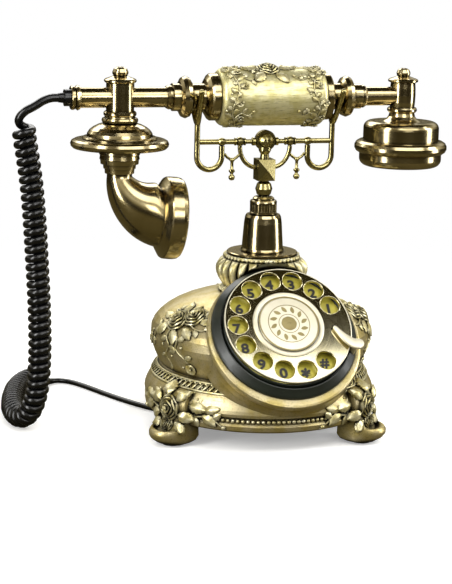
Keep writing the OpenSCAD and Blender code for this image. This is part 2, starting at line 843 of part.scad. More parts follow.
module mouth_neck() {
    color(dark_metal)
        translate([-mouth_x, 0, 0])
            turned([[7, elbow_top_z], [10.2, elbow_top_z], [10.4, 188.4], [11.2, 188.6], [11.5, 191.6],
                    [13.2, 191.8], [13.5, 194.8], [14, 195.2], [13.6, 197.8], [14.2, 198.4],
                    [13.8, 201.6], [13.8, 202.4], [7, 202.4]]);
}

// Centre line and radius of the elbow, at a share k of the way from the neck to the bell
elbow_steps = 8;
elbow_dir = [cos(elbow_tilt), 0, -sin(elbow_tilt)];
function elbow_point(k) =
    let (a = (90 - elbow_tilt) * k, r = elbow_bend_r - 4.3 * sin(180 * k))
    elbow_pivot - r * [cos(a), 0, sin(a)];
function elbow_radius(k) = 8.8 + 12.2 * sin(90 * k);
elbow_end = elbow_point(1);

module mouth_elbow() {
    top = [-mouth_x, 0, elbow_top_z];
    shares = [for (i = [0:elbow_steps]) i / elbow_steps];
    route = concat([top], [for (k = shares) elbow_point(k)]);
    radii = concat([elbow_radius(0)], [for (k = shares) elbow_radius(k)]);
    dirs = concat(
        [[0, 0, -1]],
        [for (k = shares) let (a = (90 - elbow_tilt) * k) [sin(a), 0, -cos(a)]]
    );
    inner = [for (r = radii) r - 2];
    color(dark_metal)
        difference() {
            swept(route, radii, dirs, 24, [0, 1, 0]);
            swept(
                concat([top + [0, 0, 1]], route, [elbow_end + elbow_dir]),
                concat([inner[0]], inner, [inner[len(inner) - 1]]),
                concat([dirs[0]], dirs, [elbow_dir]), 24, [0, 1, 0]
            );
        }
}

// Frame of the bell: local Z points out of its mouth
module bell_place() {
    translate(elbow_end) rotate([0, 90 + elbow_tilt, 0]) children();
}

module mouth_rim() {
    color(dark_metal)
        bell_place()
            turned([[19.4, 0], [21, 0], [21.8, 0.6], [24.4, 2], [28.2, 4.4], [28.8, 5.4],
                    [29, 7.4], [29, 12.6], [28.5, 15], [27.6, 16.2], [26.4, 16.4], [25.8, 15.4],
                    [25.4, 9.4], [24.4, 7], [24.4, 5], [21, 3]]);
}

module microphone() {
    color(black_plastic)
        bell_place() {
            difference() {
                turned([[0, 7], [24.4, 7], [25.3, 9.2], [12, 10.6], [0, 11]]);
                for (ringno = [1:3])
                    for (i = [0:6 * ringno - 1])
                        rotate([0, 0, i * 60 / ringno])
                            translate([5.6 * ringno, 0, 6]) cylinder(r = 1.1, h = 6);
                translate([0, 0, 6]) cylinder(r = 1.1, h = 6);
            }
            translate([0, 0, 1]) cylinder(r = 8, h = 6);
        }
}

module ear_sleeve() {
    color(dark_metal)
        translate([ear_x, 0, 0])
            turned([[7.6, 229.4], [8.8, 229.4], [9.15, 233], [9.3, 238], [9.15, 243], [8.8, 247.4],
                    [9.8, 247.4], [10.75, 248], [10.75, 249.2], [9.8, 249.9], [6, 251.2],
                    [4.4, 252], [4.9, 253], [5, 254.2], [4, 256.4], [2.4, 257.3], [0, 257.6],
                    [0, 247.4], [7.6, 247.4]]);
}

module ear_cup() {
    color(dark_metal)
        translate([ear_x, 0, 0])
            turned(concat(
                [[7.6, 229.4], [10, 229.4], [10.7, 228.4], [10.7, 227], [9.6, 225.8], [9, 225.4],
                 [9.6, 223], [11.2, 221], [13.8, 219.5], [22.2, 219.5]],
                [for (a = [75:-15:0]) [22.2 + 5 * cos(a), 214.5 + 5 * sin(a)]],
                [[27.2, 205.6]],
                [for (a = [70:-28:-70]) [28.8 + 4.6 * cos(a), 201 + 4.6 * sin(a)]],
                [[29.4, 196.6], [26, 196.6], [26, 204], [24.4, 212.5], [20, 216.5], [7.6, 217.5]]
            ));
}

module ear_cap() {
    color(dark_metal)
        translate([ear_x, 0, 0])
            difference() {
                turned(concat(
                    [[0, 187.4], [23.6, 187.2]],
                    [for (a = [-75:15:0]) [24.4 + 5.2 * cos(a), 192.4 + 5.2 * sin(a)]],
                    [[29.6, 196.6], [25.6, 196.6], [25.6, 192], [0, 190]]
                ));
                for (ringno = [1:2])
                    for (i = [0:6 * ringno - 1])
                        rotate([0, 0, i * 60 / ringno])
                            translate([5.5 * ringno, 0, 185]) cylinder(r = 1.3, h = 8);
                translate([0, 0, 185]) cylinder(r = 1.3, h = 8);
            }
}

module receiver_capsule() {
    color("silver")
        translate([ear_x, 0, 0])
            turned([[0, 192.4], [22, 192.4], [22, 199], [16, 203], [0, 203]]);
}

// ---------------------------------------------------------------- cord

module strain_relief() {
    color(black_plastic)
        turned_x([[0, -148], [3.2, -148], [3.6, -144.6], [5.8, -144], [5.8, -139.6],
                  [3.6, -139.6], [3.6, -134], [0, -134]]);
}

module cord_tail_top() color(black_plastic) swept_rod(tail_top_route, cord_d / 2, 8);

// Stretch of the curls between two points of their route
module curls(from, to, ref) {
    dirs = headings(curl_route);
    swept(
        [for (i = [from:to]) curl_route[i]], [for (i = [from:to]) curl_r],
        [for (i = [from:to]) dirs[i]], 12, ref
    );
}

module cord_curl_hanging() color(black_plastic) curls(0, curl_lands, [0, 1, 0]);
module cord_curl_lying() color(black_plastic) curls(curl_lands, len(curl_route) - 1, [0, 0, 1]);

module cord_tail_base() {
    color(black_plastic) swept_rod(tail_base_route, lead_d / 2, 8, [0.2, 0, 1]);
}

plinth();
foot_front_left();
foot_front_right();
foot_rear_left();
foot_rear_right();
foot_pads();
bottom_cover();
cover_screws();
ballast_weight();
loudspeaker();
circuit_board();
line_jack();
cord_gland();
body_shell();
gadroon_collar();
collar_plate();
column_cone();
column_nut();
hook_bracket();
hook_lever();
hook_switch();
cradle_spring();
cradle_stem();
cradle_bar();
cradle_frame_left();
cradle_frame_right();
pendants();
dial_cup();
number_plate();
dial_chassis();
finger_wheel();
centre_ring();
dial_shaft();
drive_gear();
return_spring();
governor();
speaker_button();
button_switch();
finger_stop();
grip_barrel();
tie_tube();
neck_left();
neck_right();
tube_left();
tube_right();
mouth_sleeve();
mouth_dome();
mouth_neck();
mouth_elbow();
mouth_rim();
microphone();
ear_sleeve();
ear_cup();
ear_cap();
receiver_capsule();
strain_relief();
cord_tail_top();
cord_curl_hanging();
cord_curl_lying();
cord_tail_base();
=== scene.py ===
"""Cradle telephone: a cast rose body on four scroll feet, a turned column, a fork cradle and a plated handset.

Every sub-assembly is a class that holds its own sizes in millimetres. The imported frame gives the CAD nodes,
which keep their shapes and take finishes here; pieces with finer relief stand in for some of them.
"""

import json
import logging
import math
from dataclasses import dataclass, field
from enum import Enum
from typing import Callable, Iterable, Optional, Sequence

import bmesh
import bpy
import numpy as np
from mathutils import Matrix, Vector

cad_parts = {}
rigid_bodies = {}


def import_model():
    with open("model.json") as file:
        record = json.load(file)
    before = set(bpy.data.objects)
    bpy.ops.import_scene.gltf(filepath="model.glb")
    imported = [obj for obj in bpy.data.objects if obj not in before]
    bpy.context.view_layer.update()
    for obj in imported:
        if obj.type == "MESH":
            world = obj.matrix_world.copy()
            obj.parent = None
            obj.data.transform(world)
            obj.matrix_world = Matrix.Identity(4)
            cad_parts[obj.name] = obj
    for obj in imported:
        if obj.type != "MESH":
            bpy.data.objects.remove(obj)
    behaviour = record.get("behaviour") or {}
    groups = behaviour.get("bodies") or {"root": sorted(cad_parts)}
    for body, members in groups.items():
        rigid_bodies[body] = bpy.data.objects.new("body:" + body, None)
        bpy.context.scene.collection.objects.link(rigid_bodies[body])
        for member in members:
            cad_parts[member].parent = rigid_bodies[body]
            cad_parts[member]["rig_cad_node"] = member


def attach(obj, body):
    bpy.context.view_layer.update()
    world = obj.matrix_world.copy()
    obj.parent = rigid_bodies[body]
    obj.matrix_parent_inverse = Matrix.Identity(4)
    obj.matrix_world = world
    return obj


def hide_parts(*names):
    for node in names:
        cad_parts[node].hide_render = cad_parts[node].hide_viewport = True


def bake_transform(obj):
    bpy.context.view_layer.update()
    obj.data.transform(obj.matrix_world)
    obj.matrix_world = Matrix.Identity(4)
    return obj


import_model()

log = logging.getLogger("cradle_telephone")
logging.basicConfig(level=logging.INFO, format="%(name)s: %(message)s")

MM = 0.001
TAU = 2 * math.pi

Point = Sequence[float]
Wrap = Callable[[np.ndarray, np.ndarray, np.ndarray], np.ndarray]


# ------------------------------------------------------------------ finishes


def linear(colour: str) -> tuple[float, float, float, float]:
    """Turn an sRGB hex colour into the linear value that shaders take.

    Args:
        colour: six hex digits after a hash sign.

    Returns:
        Red, green, blue and an alpha of one.
    """
    parts = [int(colour[i : i + 2], 16) / 255 for i in (1, 3, 5)]
    r, g, b = (c / 12.92 if c <= 0.04045 else ((c + 0.055) / 1.055) ** 2.4 for c in parts)
    return (r, g, b, 1.0)


def add_node(tree: bpy.types.NodeTree, kind: str, inputs: Optional[dict] = None, **settings) -> bpy.types.Node:
    """Add one node with its settings, values and links.

    Args:
        tree: the shader or geometry tree.
        kind: Blender's name of the node type.
        inputs: input socket name or number, to a value or to the output socket that feeds it.
        settings: attributes of the node, such as its operation.

    Returns:
        The new node.
    """
    node = tree.nodes.new(kind)
    for name, value in settings.items():
        setattr(node, name, value)
    for name, value in (inputs or {}).items():
        if isinstance(value, bpy.types.NodeSocket):
            tree.links.new(value, node.inputs[name])
        else:
            node.inputs[name].default_value = value
    return node


class Lay(Enum):
    """Which way the grain of a finish runs."""

    CLOUD = "no direction"
    ALONG_X = "lines along X"
    TURNED = "rings about the dial's axis"
    DRAWN = "lines around the column's axis"


@dataclass(frozen=True)
class Finish:
    """One surface finish and the procedural material made from it."""

    name: str
    slot: str
    body: str
    # dark tone for specks, and for hollows, where it stands for patina and painted shade
    pale: str
    speck_patina_and_shade: str
    metallic: float
    roughness: tuple[float, float]
    patch_mm: float = 12.0
    grain_mm: float = 0.5
    grain_depth_mm: float = 0.02
    # how far and how strongly ambient occlusion darkens hollows: painted shade, and patina on the antiqued finishes
    patina_and_shade_reach_mm: float = 0.0
    patina_and_shade_share: float = 0.8
    lay: Lay = Lay.CLOUD
    coat: float = 0.0
    speck: float = 0.0

    def pattern(self, tree: bpy.types.NodeTree) -> bpy.types.NodeSocket:
        """Return the coordinates that the grain follows, in millimetres.

        Args:
            tree: the material's node tree.

        Returns:
            The socket that carries the coordinates.
        """
        place = add_node(tree, "ShaderNodeTexCoord").outputs["Object"]
        if self.lay is Lay.TURNED:
            turned = add_node(
                tree, "ShaderNodeMapping", {"Vector": place, "Location": DIAL.origin_m, "Rotation": DIAL.turn},
                vector_type="TEXTURE",
            )
            flat = add_node(
                tree, "ShaderNodeVectorMath", {0: turned.outputs[0], 1: (1 / MM, 1 / MM, 0.0)}, operation="MULTIPLY",
            )
            reach = add_node(tree, "ShaderNodeVectorMath", {0: flat.outputs[0]}, operation="LENGTH")
            return add_node(tree, "ShaderNodeCombineXYZ", {0: reach.outputs["Value"]}).outputs[0]
        scale = {
            Lay.CLOUD: (1 / MM, 1 / MM, 1 / MM),
            Lay.ALONG_X: (0.09 / MM, 1 / MM, 1 / MM),
            Lay.DRAWN: (0.11 / MM, 0.11 / MM, 1 / MM),
        }[self.lay]
        return add_node(tree, "ShaderNodeMapping", {"Vector": place, "Scale": scale}).outputs[0]

    def material(self) -> bpy.types.Material:
        """Build the finish once and return it afterwards."""
        made = bpy.data.materials.get(self.name)
        if made is not None:
            return made
        made = bpy.data.materials.new(self.name)
        made.use_nodes = True
        made.diffuse_color = linear(self.body)
        tree = made.node_tree
        shader = tree.nodes["Principled BSDF"]
        shader.inputs["Metallic"].default_value = self.metallic
        shader.inputs["Coat Weight"].default_value = self.coat
        shader.inputs["Coat Roughness"].default_value = 0.06
        place = add_node(tree, "ShaderNodeTexCoord").outputs["Object"]
        patches = add_node(
            tree, "ShaderNodeTexNoise", {"Vector": place, "Scale": 1 / (self.patch_mm * MM), "Detail": 4.0}
        )
        grain = add_node(
            tree, "ShaderNodeTexNoise",
            {"Vector": self.pattern(tree), "Scale": 1 / self.grain_mm, "Detail": 3.0, "Roughness": 0.6},
        )
        spread = add_node(
            tree, "ShaderNodeMapRange",
            {"Value": patches.outputs["Fac"], "From Min": 0.32, "From Max": 0.68},
            interpolation_type="SMOOTHSTEP",
        )
        colour = add_node(
            tree, "ShaderNodeMix",
            {"Factor": spread.outputs[0], "A": linear(self.body), "B": linear(self.pale)},
            data_type="RGBA",
        ).outputs["Result"]
        if self.speck:
            fleck = add_node(
                tree, "ShaderNodeMapRange",
                {"Value": grain.outputs["Fac"], "From Min": 0.54, "From Max": 0.72, "To Max": self.speck},
            )
            colour = add_node(
                tree, "ShaderNodeMix",
                {"Factor": fleck.outputs[0], "A": colour, "B": linear(self.speck_patina_and_shade)},
                data_type="RGBA",
            ).outputs["Result"]
        # Ambient occlusion pulls the colour towards the dark tone in hollows and crevices: painted shade, and on the
        # antiqued finishes also their patina
        if self.patina_and_shade_reach_mm:
            hollow = add_node(
                tree, "ShaderNodeAmbientOcclusion", {"Distance": self.patina_and_shade_reach_mm * MM}, samples=6
            )
            patina_and_shade_mask = add_node(
                tree, "ShaderNodeMapRange",
                {"Value": hollow.outputs["AO"], "From Min": 0.55, "From Max": 0.94, "To Min": self.patina_and_shade_share,
                 "To Max": 0.0},
            )
            colour = add_node(
                tree, "ShaderNodeMix", {"Factor": patina_and_shade_mask.outputs[0], "A": colour, "B": linear(self.speck_patina_and_shade)},
                data_type="RGBA",
            ).outputs["Result"]
        tree.links.new(colour, shader.inputs["Base Color"])
        rough = add_node(
            tree, "ShaderNodeMapRange",
            {"Value": grain.outputs["Fac"], "From Min": 0.3, "From Max": 0.7, "To Min": self.roughness[0],
             "To Max": self.roughness[1]},
        )
        tree.links.new(rough.outputs[0], shader.inputs["Roughness"])
        bump = add_node(
            tree, "ShaderNodeBump",
            {"Height": grain.outputs["Fac"], "Distance": self.grain_depth_mm * MM, "Strength": 1.0},
        )
        tree.links.new(bump.outputs["Normal"], shader.inputs["Normal"])
        return made


@dataclass(frozen=True)
class Place:
    """A turned local frame: its origin in millimetres and its tilt about X."""

    origin: tuple[float, float, float]
    tilt: float

    @property
    def origin_m(self) -> tuple[float, float, float]:
        """Origin in metres."""
        return tuple(c * MM for c in self.origin)

    @property
    def turn(self) -> tuple[float, float, float]:
        """Rotation as Euler angles."""
        return (self.tilt, 0.0, 0.0)

    def out(self, points: np.ndarray) -> np.ndarray:
        """Turn local points into points of the row frame."""
        c, s = math.cos(self.tilt), math.sin(self.tilt)
        x, y, z = points[..., 0], points[..., 1], points[..., 2]
        return np.stack([x, y * c - z * s, y * s + z * c], -1) + np.array(self.origin)

    def into(self, points: np.ndarray) -> np.ndarray:
        """Turn points of the row frame into local points."""
        c, s = math.cos(self.tilt), math.sin(self.tilt)
        p = points - np.array(self.origin)
        return np.stack([p[..., 0], p[..., 1] * c + p[..., 2] * s, -p[..., 1] * s + p[..., 2] * c], -1)


DIAL = Place((0.0, -66.0, 88.0), math.radians(47))

# Cast resin under antique-gold lacquer, rubbed back by hand: soft sheen, cloudy, brown patina left in the hollows and
# painted shade deepening them to near black
AGED_GOLD = Finish(
    "cast_resin_rubbed_gold", "painted_resin", "#bdab6a", "#cdc097", "#100d05", 0.8, (0.32, 0.46),
    patch_mm=13, grain_mm=1.0, grain_depth_mm=0.15, patina_and_shade_reach_mm=6, patina_and_shade_share=0.97, speck=0.45,
)
# The same lacquer polished brighter on raised flowers and lobes: paler crests against grooves darkened by patina and by
# painted shade
CREST_GOLD = Finish(
    "cast_resin_bright_crests", "painted_resin", "#c8bb7e", "#e6dfba", "#0b0904", 0.72, (0.34, 0.48),
    patch_mm=5, grain_mm=0.5, grain_depth_mm=0.04, patina_and_shade_reach_mm=3.8, patina_and_shade_share=1.0,
)
# Hammered and lacquered sleeve: pale straw gold with fine streaks along the handset; painted shade darkens its hollows
# and the skin beside the raised garlands
HAMMERED_GOLD = Finish(
    "hammered_straw_gold", "painted_resin", "#d2c98c", "#e6dfb0", "#6a5e30", 0.75, (0.34, 0.5),
    patch_mm=6, grain_mm=0.7, grain_depth_mm=0.1, patina_and_shade_reach_mm=3.5, patina_and_shade_share=0.85, lay=Lay.ALONG_X, speck=0.75,
)
# Zinc casting, bronze plated and polished: mirror sheen, brown-olive in the shade, cream in the light; its crevices are
# painted near black as shade
PLATED_BRONZE = Finish(
    "polished_bronze_plate", "antique_metal", "#aa9b72", "#b9ab86", "#120e06", 1.0, (0.14, 0.21),
    patch_mm=14, grain_mm=0.6, grain_depth_mm=0.006, patina_and_shade_reach_mm=2.4, patina_and_shade_share=0.85,
)
# Drawn brass rod, antiqued and buffed: warmer and softer than the plated castings; its crevices darken near black,
# partly antique patina and partly painted shade
BUFFED_BRASS = Finish(
    "buffed_antique_brass", "antique_brass", "#a29763", "#b5aa79", "#151107", 1.0, (0.15, 0.26),
    patch_mm=7, grain_mm=0.4, grain_depth_mm=0.006, patina_and_shade_reach_mm=2.2, patina_and_shade_share=0.85,
)
# Turned and anodised aluminium: pale champagne with rings that spread the highlight, drawn coarser than cut
CHAMPAGNE = Finish(
    "turned_champagne_anodised", "champagne_metal", "#cfc6a0", "#d8cfac", "#3a3220", 1.0, (0.06, 0.1),
    patch_mm=16, grain_mm=1.3, grain_depth_mm=0.003, lay=Lay.TURNED,
)
# Turned cream-gold centre ring and button, with painted shade in their tight corners
CREAM_GOLD = Finish(
    "turned_cream_gold", "champagne_metal", "#dcd5bb", "#e4dec8", "#3d341e", 0.55, (0.36, 0.46),
    patch_mm=16, grain_mm=1.1, grain_depth_mm=0.006, lay=Lay.TURNED, patina_and_shade_reach_mm=1.0, patina_and_shade_share=0.6,
)
# Moulded satin ABS: near black with a green cast, a soft broad sheen
SATIN_BLACK = Finish(
    "satin_black_abs", "black_plastic", "#141914", "#1d231c", "#050605", 0.0, (0.34, 0.44),
    patch_mm=20, grain_mm=0.6, grain_depth_mm=0.004, coat=0.08,
)
# Lacquered number plate: olive yellow with a faint cloud, and painted shade darkening it near the parts that stand over
# and beside it
OLIVE_LACQUER = Finish(
    "olive_lacquer_plate", "dial_face", "#a79d33", "#b8ae45", "#38310f", 0.2, (0.3, 0.4),
    patch_mm=8, grain_mm=0.4, grain_depth_mm=0.004, patina_and_shade_reach_mm=4, patina_and_shade_share=0.5,
)
# Lines etched into the button and left brown
ETCHED_LINE = Finish(
    "brown_etched_line", "champagne_metal", "#877a4c", "#978a5b", "#3d341e", 0.5, (0.4, 0.5), grain_depth_mm=0.002,
)
# Screen-printed enamel numerals: dense black, slightly raised
NUMERAL_INK = Finish(
    "numeral_ink", "dial_face", "#0c0a06", "#15120b", "#000000", 0.0, (0.35, 0.45), grain_depth_mm=0.002,
)
# Extruded PVC jacket: glossy black with a faint drag
CORD_PVC = Finish(
    "glossy_black_pvc", "cord_rubber", "#050506", "#09090a", "#020202", 0.0, (0.22, 0.3),
    patch_mm=10, grain_mm=0.5, grain_depth_mm=0.006,
)
# Bright zinc-plated steel: cool grey, fine scratches
ZINC_STEEL = Finish(
    "zinc_plated_steel", "plain_steel", "#9a9b9d", "#b4b5b6", "#3c3c3e", 1.0, (0.22, 0.38), grain_depth_mm=0.006,
)
# Grey cast iron: matt, pitted, dark
CAST_IRON = Finish(
    "grey_cast_iron", "ballast_iron", "#3c3d40", "#4b4c50", "#1c1c1e", 0.85, (0.55, 0.75),
    grain_mm=0.9, grain_depth_mm=0.12, speck=0.4,
)
# Free-cutting brass for the gear: clean yellow
GEAR_BRASS = Finish(
    "hobbed_brass", "gear_brass", "#b0904a", "#c7a960", "#4a3a18", 1.0, (0.22, 0.34), grain_depth_mm=0.005,
)
# Woven glass laminate under green solder mask
LAMINATE = Finish(
    "green_glass_laminate", "circuit_laminate", "#1d5a38", "#27704a", "#0d2a1b", 0.0, (0.35, 0.5),
    grain_mm=0.9, grain_depth_mm=0.02, speck=0.25,
)
# Moulded grey nylon of the sockets and switches
SOCKET_NYLON = Finish(
    "moulded_grey_nylon", "socket_plastic", "#8b8a84", "#9a9992", "#3b3a36", 0.0, (0.4, 0.55), grain_depth_mm=0.015,
)
# Matt black rubber pads with a fine moulded tooth
PAD_RUBBER = Finish(
    "matt_black_rubber", "pad_rubber", "#161616", "#202020", "#080808", 0.0, (0.7, 0.85),
    grain_mm=0.7, grain_depth_mm=0.05,
)

SLOT_FINISH = {
    f.slot: f
    for f in (AGED_GOLD, PLATED_BRONZE, BUFFED_BRASS, CHAMPAGNE, SATIN_BLACK, OLIVE_LACQUER, ZINC_STEEL,
              CAST_IRON, GEAR_BRASS, LAMINATE, SOCKET_NYLON, PAD_RUBBER, CORD_PVC)
}
NODE_FINISH = {
    "centre_ring": CREAM_GOLD, "speaker_button": CREAM_GOLD, "column_cone": PLATED_BRONZE,
}


# ------------------------------------------------------------------ mesh building


def arc(
    centre: tuple[float, float], radius: float, start: float, end: float, steps: int
) -> list[tuple[float, float]]:
    """Return points of an arc, with its angles in degrees."""
    angles = (math.radians(start + (end - start) * i / steps) for i in range(steps + 1))
    return [(centre[0] + radius * math.cos(a), centre[1] + radius * math.sin(a)) for a in angles]


def smooth_line(points: Sequence[Point], step: float) -> np.ndarray:
    """Run a rounded line through points and return it at even steps.

    Args:
        points: the points that the line passes, in millimetres.
        step: distance between the returned points.

    Returns:
        An array of points.
    """
    p = np.array(points, float)
    ends = np.vstack([2 * p[0] - p[1], p, 2 * p[-1] - p[-2]])
    fine = []
    for a, b, c, d in zip(ends, ends[1:], ends[2:], ends[3:]):
        t = np.linspace(0, 1, 24, endpoint=False)[:, None]
        fine.append(
            0.5 * (2 * b + (c - a) * t + (2 * a - 5 * b + 4 * c - d) * t**2 + (3 * b - a - 3 * c + d) * t**3)
        )
    line = np.vstack([*fine, p[-1:]])
    reach = np.concatenate([[0], np.cumsum(np.linalg.norm(np.diff(line, axis=0), axis=1))])
    count = max(2, round(reach[-1] / step) + 1)
    at = np.linspace(0, reach[-1], count)
    return np.stack([np.interp(at, reach, line[:, k]) for k in range(line.shape[1])], -1)


def carried_sides(line: np.ndarray, first: Point) -> tuple[np.ndarray, np.ndarray]:
    """Carry two side directions along a line without twist.

    Args:
        line: points of the line.
        first: a direction near the first side.

    Returns:
        The two side directions at each point.
    """
    run = np.gradient(line, axis=0)
    run /= np.linalg.norm(run, axis=1)[:, None]
    side = np.array(first, float)
    sides = []
    for direction in run:
        side = side - direction * side.dot(direction)
        side /= np.linalg.norm(side)
        sides.append(side)
    sides = np.array(sides)
    return sides, np.cross(run, sides)


class Sketch:
    """Collects closed shells in millimetres and makes one mesh object of them."""

    def __init__(self) -> None:
        """Start with no shells."""
        self.points: list[np.ndarray] = []
        self.faces: list[tuple[int, ...]] = []
        self.count = 0

    def add(self, points: np.ndarray, faces: Iterable[Sequence[int]]) -> None:
        """Add points and the faces between them."""
        flat = np.asarray(points, float).reshape(-1, 3)
        self.faces += [tuple(i + self.count for i in f) for f in faces]
        self.points.append(flat)
        self.count += len(flat)

    def grid(
        self, points: np.ndarray, round_rows: bool = False, round_columns: bool = False, lids: bool = False
    ) -> None:
        """Add a sheet of quads.

        Args:
            points: rows and columns of points.
            round_rows: whether the last row joins the first.
            round_columns: whether the last column joins the first.
            lids: whether the first and last rows are closed with a face.
        """
        rows, columns = points.shape[:2]
        faces = []
        for i in range(rows if round_rows else rows - 1):
            for j in range(columns if round_columns else columns - 1):
                k, m = (i + 1) % rows, (j + 1) % columns
                faces.append((i * columns + j, i * columns + m, k * columns + m, k * columns + j))
        if lids:
            faces += [tuple(range(columns))[::-1], tuple((rows - 1) * columns + j for j in range(columns))]
        self.add(points, faces)

    def tube(self, line: np.ndarray, radius: float | np.ndarray, sides: int = 12, first: Point = (0, 1, 0)) -> None:
        """Add a round bar along a line.

        Args:
            line: points of its middle.
            radius: one radius, or one for each point.
            sides: faces round it.
            first: direction near the first side.
        """
        a, b = carried_sides(line, first)
        r = np.broadcast_to(np.asarray(radius, float), (len(line),))[:, None, None]
        turn = np.arange(sides) * TAU / sides
        ring = np.cos(turn)[None, :, None] * a[:, None] + np.sin(turn)[None, :, None] * b[:, None]
        self.grid(line[:, None] + r * ring, round_columns=True, lids=True)

    def lathe(self, outline: Sequence[tuple[float, float]], out: Callable[[np.ndarray], np.ndarray], steps: int = 96,
              swell: Optional[Callable[[np.ndarray, np.ndarray], np.ndarray]] = None) -> None:
        """Turn an outline of radius and height pairs into a ring or a solid.

        Args:
            outline: the closed outline; a radius of zero lies on the axis.
            out: turns local points into the row frame.
            steps: faces round it.
            swell: gives each radius's factor from the turn angle and the height.
        """
        line = np.array(outline, float)
        turn = np.arange(steps) * TAU / steps
        r, z = np.meshgrid(line[:, 0], turn, indexing="ij")[0], np.repeat(line[:, 1:], steps, axis=1)
        a = np.repeat(turn[None], len(line), axis=0)
        if swell is not None:
            r = r * swell(a, z)
        self.grid(out(np.stack([r * np.cos(a), r * np.sin(a), z], -1)), round_columns=True, round_rows=True)

    def pillow(self, wrap: Wrap, x: np.ndarray, y: np.ndarray, height: np.ndarray, root: float = -0.9) -> None:
        """Add a raised patch that is closed below.

        Args:
            wrap: lays x, y and height on a surface.
            x: places across, as rows and columns.
            y: places along, as rows and columns.
            height: the upper face's height at each place.
            root: the lower face's height, under the surface.
        """
        upper = wrap(x, y, height)
        lower = wrap(x, y, np.full_like(height, root))
        shell = np.concatenate([upper, lower[::-1]])
        rows, columns = shell.shape[:2]
        start = self.count
        self.grid(shell, round_rows=True)
        self.faces.append(tuple(start + i * columns for i in range(rows)))
        self.faces.append(tuple(start + i * columns + columns - 1 for i in range(rows))[::-1])

    def ball(self, centre: Point, radius: float) -> None:
        """Add a ball."""
        up, turn = np.meshgrid(np.linspace(-math.pi / 2, math.pi / 2, 9), np.arange(14) * TAU / 14, indexing="ij")
        shell = np.stack([np.cos(up) * np.cos(turn), np.cos(up) * np.sin(turn), np.sin(up)], -1)
        self.grid(np.array(centre, float) + radius * shell, round_columns=True)

    def make(self, name: str, finish: Optional[Finish] = None, crease: float = 38) -> bpy.types.Object:
        """Make the mesh object, in metres and at the origin.

        Args:
            name: the piece's name.
            finish: its surface finish.
            crease: angle in degrees above which an edge stays sharp.

        Returns:
            The object.
        """
        mesh = bpy.data.meshes.new(name)
        mesh.from_pydata((np.vstack(self.points) * MM).tolist(), [], self.faces)
        return finished(name, mesh, finish, crease)


def finished(name: str, mesh: bpy.types.Mesh, finish: Optional[Finish], crease: float = 38) -> bpy.types.Object:
    """Merge doubles, turn faces outwards, smooth the mesh and link it as an object."""
    work = bmesh.new()
    work.from_mesh(mesh)
    bmesh.ops.remove_doubles(work, verts=work.verts, dist=0.002 * MM)
    bmesh.ops.dissolve_degenerate(work, edges=work.edges, dist=0.001 * MM)
    bmesh.ops.recalc_face_normals(work, faces=work.faces)
    work.to_mesh(mesh)
    work.free()
    mesh.shade_smooth()
    mesh.set_sharp_from_angle(angle=math.radians(crease))
    if finish is not None:
        mesh.materials.clear()
        mesh.materials.append(finish.material())
    made = bpy.data.objects.new(name, mesh)
    bpy.context.scene.collection.objects.link(made)
    return made


def placed(piece: bpy.types.Object, body: str, finish: Finish, *stands_for: str) -> bpy.types.Object:
    """Let a piece ride on its body and hide the nodes it stands for.

    Args:
        piece: the finished piece.
        body: name of the body it moves with.
        finish: not used.
        stands_for: CAD nodes that it replaces.

    Returns:
        The piece.
    """
    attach(piece, body)
    if stands_for:
        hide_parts(*stands_for)
    log.info("%s rides on %s", piece.name, body)
    return piece


# ------------------------------------------------------------------ repeats


def repeat_tree() -> bpy.types.NodeTree:
    """Build, once, the geometry tree that sets copies of a piece round an axis.

    Returns:
        The tree, with inputs Count, Radius, Height, Start, Step, Origin, Tilt and Finish.
    """
    made = bpy.data.node_groups.get("copies_round_axis")
    if made is not None:
        return made
    tree = bpy.data.node_groups.new("copies_round_axis", "GeometryNodeTree")
    for name, kind in (
        ("Geometry", "NodeSocketGeometry"), ("Count", "NodeSocketInt"), ("Radius", "NodeSocketFloat"),
        ("Height", "NodeSocketFloat"), ("Start", "NodeSocketFloat"), ("Step", "NodeSocketFloat"),
        ("Origin", "NodeSocketVector"), ("Tilt", "NodeSocketVector"), ("Finish", "NodeSocketMaterial"),
    ):
        tree.interface.new_socket(name, in_out="INPUT", socket_type=kind)
    tree.interface.new_socket("Geometry", in_out="OUTPUT", socket_type="NodeSocketGeometry")
    given = add_node(tree, "NodeGroupInput").outputs
    row = add_node(tree, "GeometryNodeMeshLine", {"Count": given["Count"]}, mode="OFFSET")
    index = add_node(tree, "GeometryNodeInputIndex").outputs[0]
    stepped = add_node(
        tree, "ShaderNodeMath", {0: index, 1: given["Step"], 2: given["Start"]}, operation="MULTIPLY_ADD"
    )
    angle = stepped.outputs[0]
    cosine = add_node(tree, "ShaderNodeMath", {0: angle}, operation="COSINE").outputs[0]
    sine = add_node(tree, "ShaderNodeMath", {0: angle}, operation="SINE").outputs[0]
    x = add_node(tree, "ShaderNodeMath", {0: cosine, 1: given["Radius"]}, operation="MULTIPLY").outputs[0]
    y = add_node(tree, "ShaderNodeMath", {0: sine, 1: given["Radius"]}, operation="MULTIPLY").outputs[0]
    spot = add_node(tree, "ShaderNodeCombineXYZ", {"X": x, "Y": y, "Z": given["Height"]}).outputs[0]
    spots = add_node(tree, "GeometryNodeSetPosition", {"Geometry": row.outputs[0], "Position": spot})
    turn = add_node(tree, "ShaderNodeCombineXYZ", {"Z": angle}).outputs[0]
    copies = add_node(
        tree, "GeometryNodeInstanceOnPoints",
        {"Points": spots.outputs[0], "Instance": given["Geometry"], "Rotation": turn},
    )
    whole = add_node(tree, "GeometryNodeRealizeInstances", {0: copies.outputs[0]})
    moved = add_node(
        tree, "GeometryNodeTransform",
        {"Geometry": whole.outputs[0], "Translation": given["Origin"], "Rotation": given["Tilt"]},
    )
    dressed = add_node(tree, "GeometryNodeSetMaterial", {"Geometry": moved.outputs[0], "Material": given["Finish"]})
    add_node(tree, "NodeGroupOutput", {"Geometry": dressed.outputs[0]})
    return tree


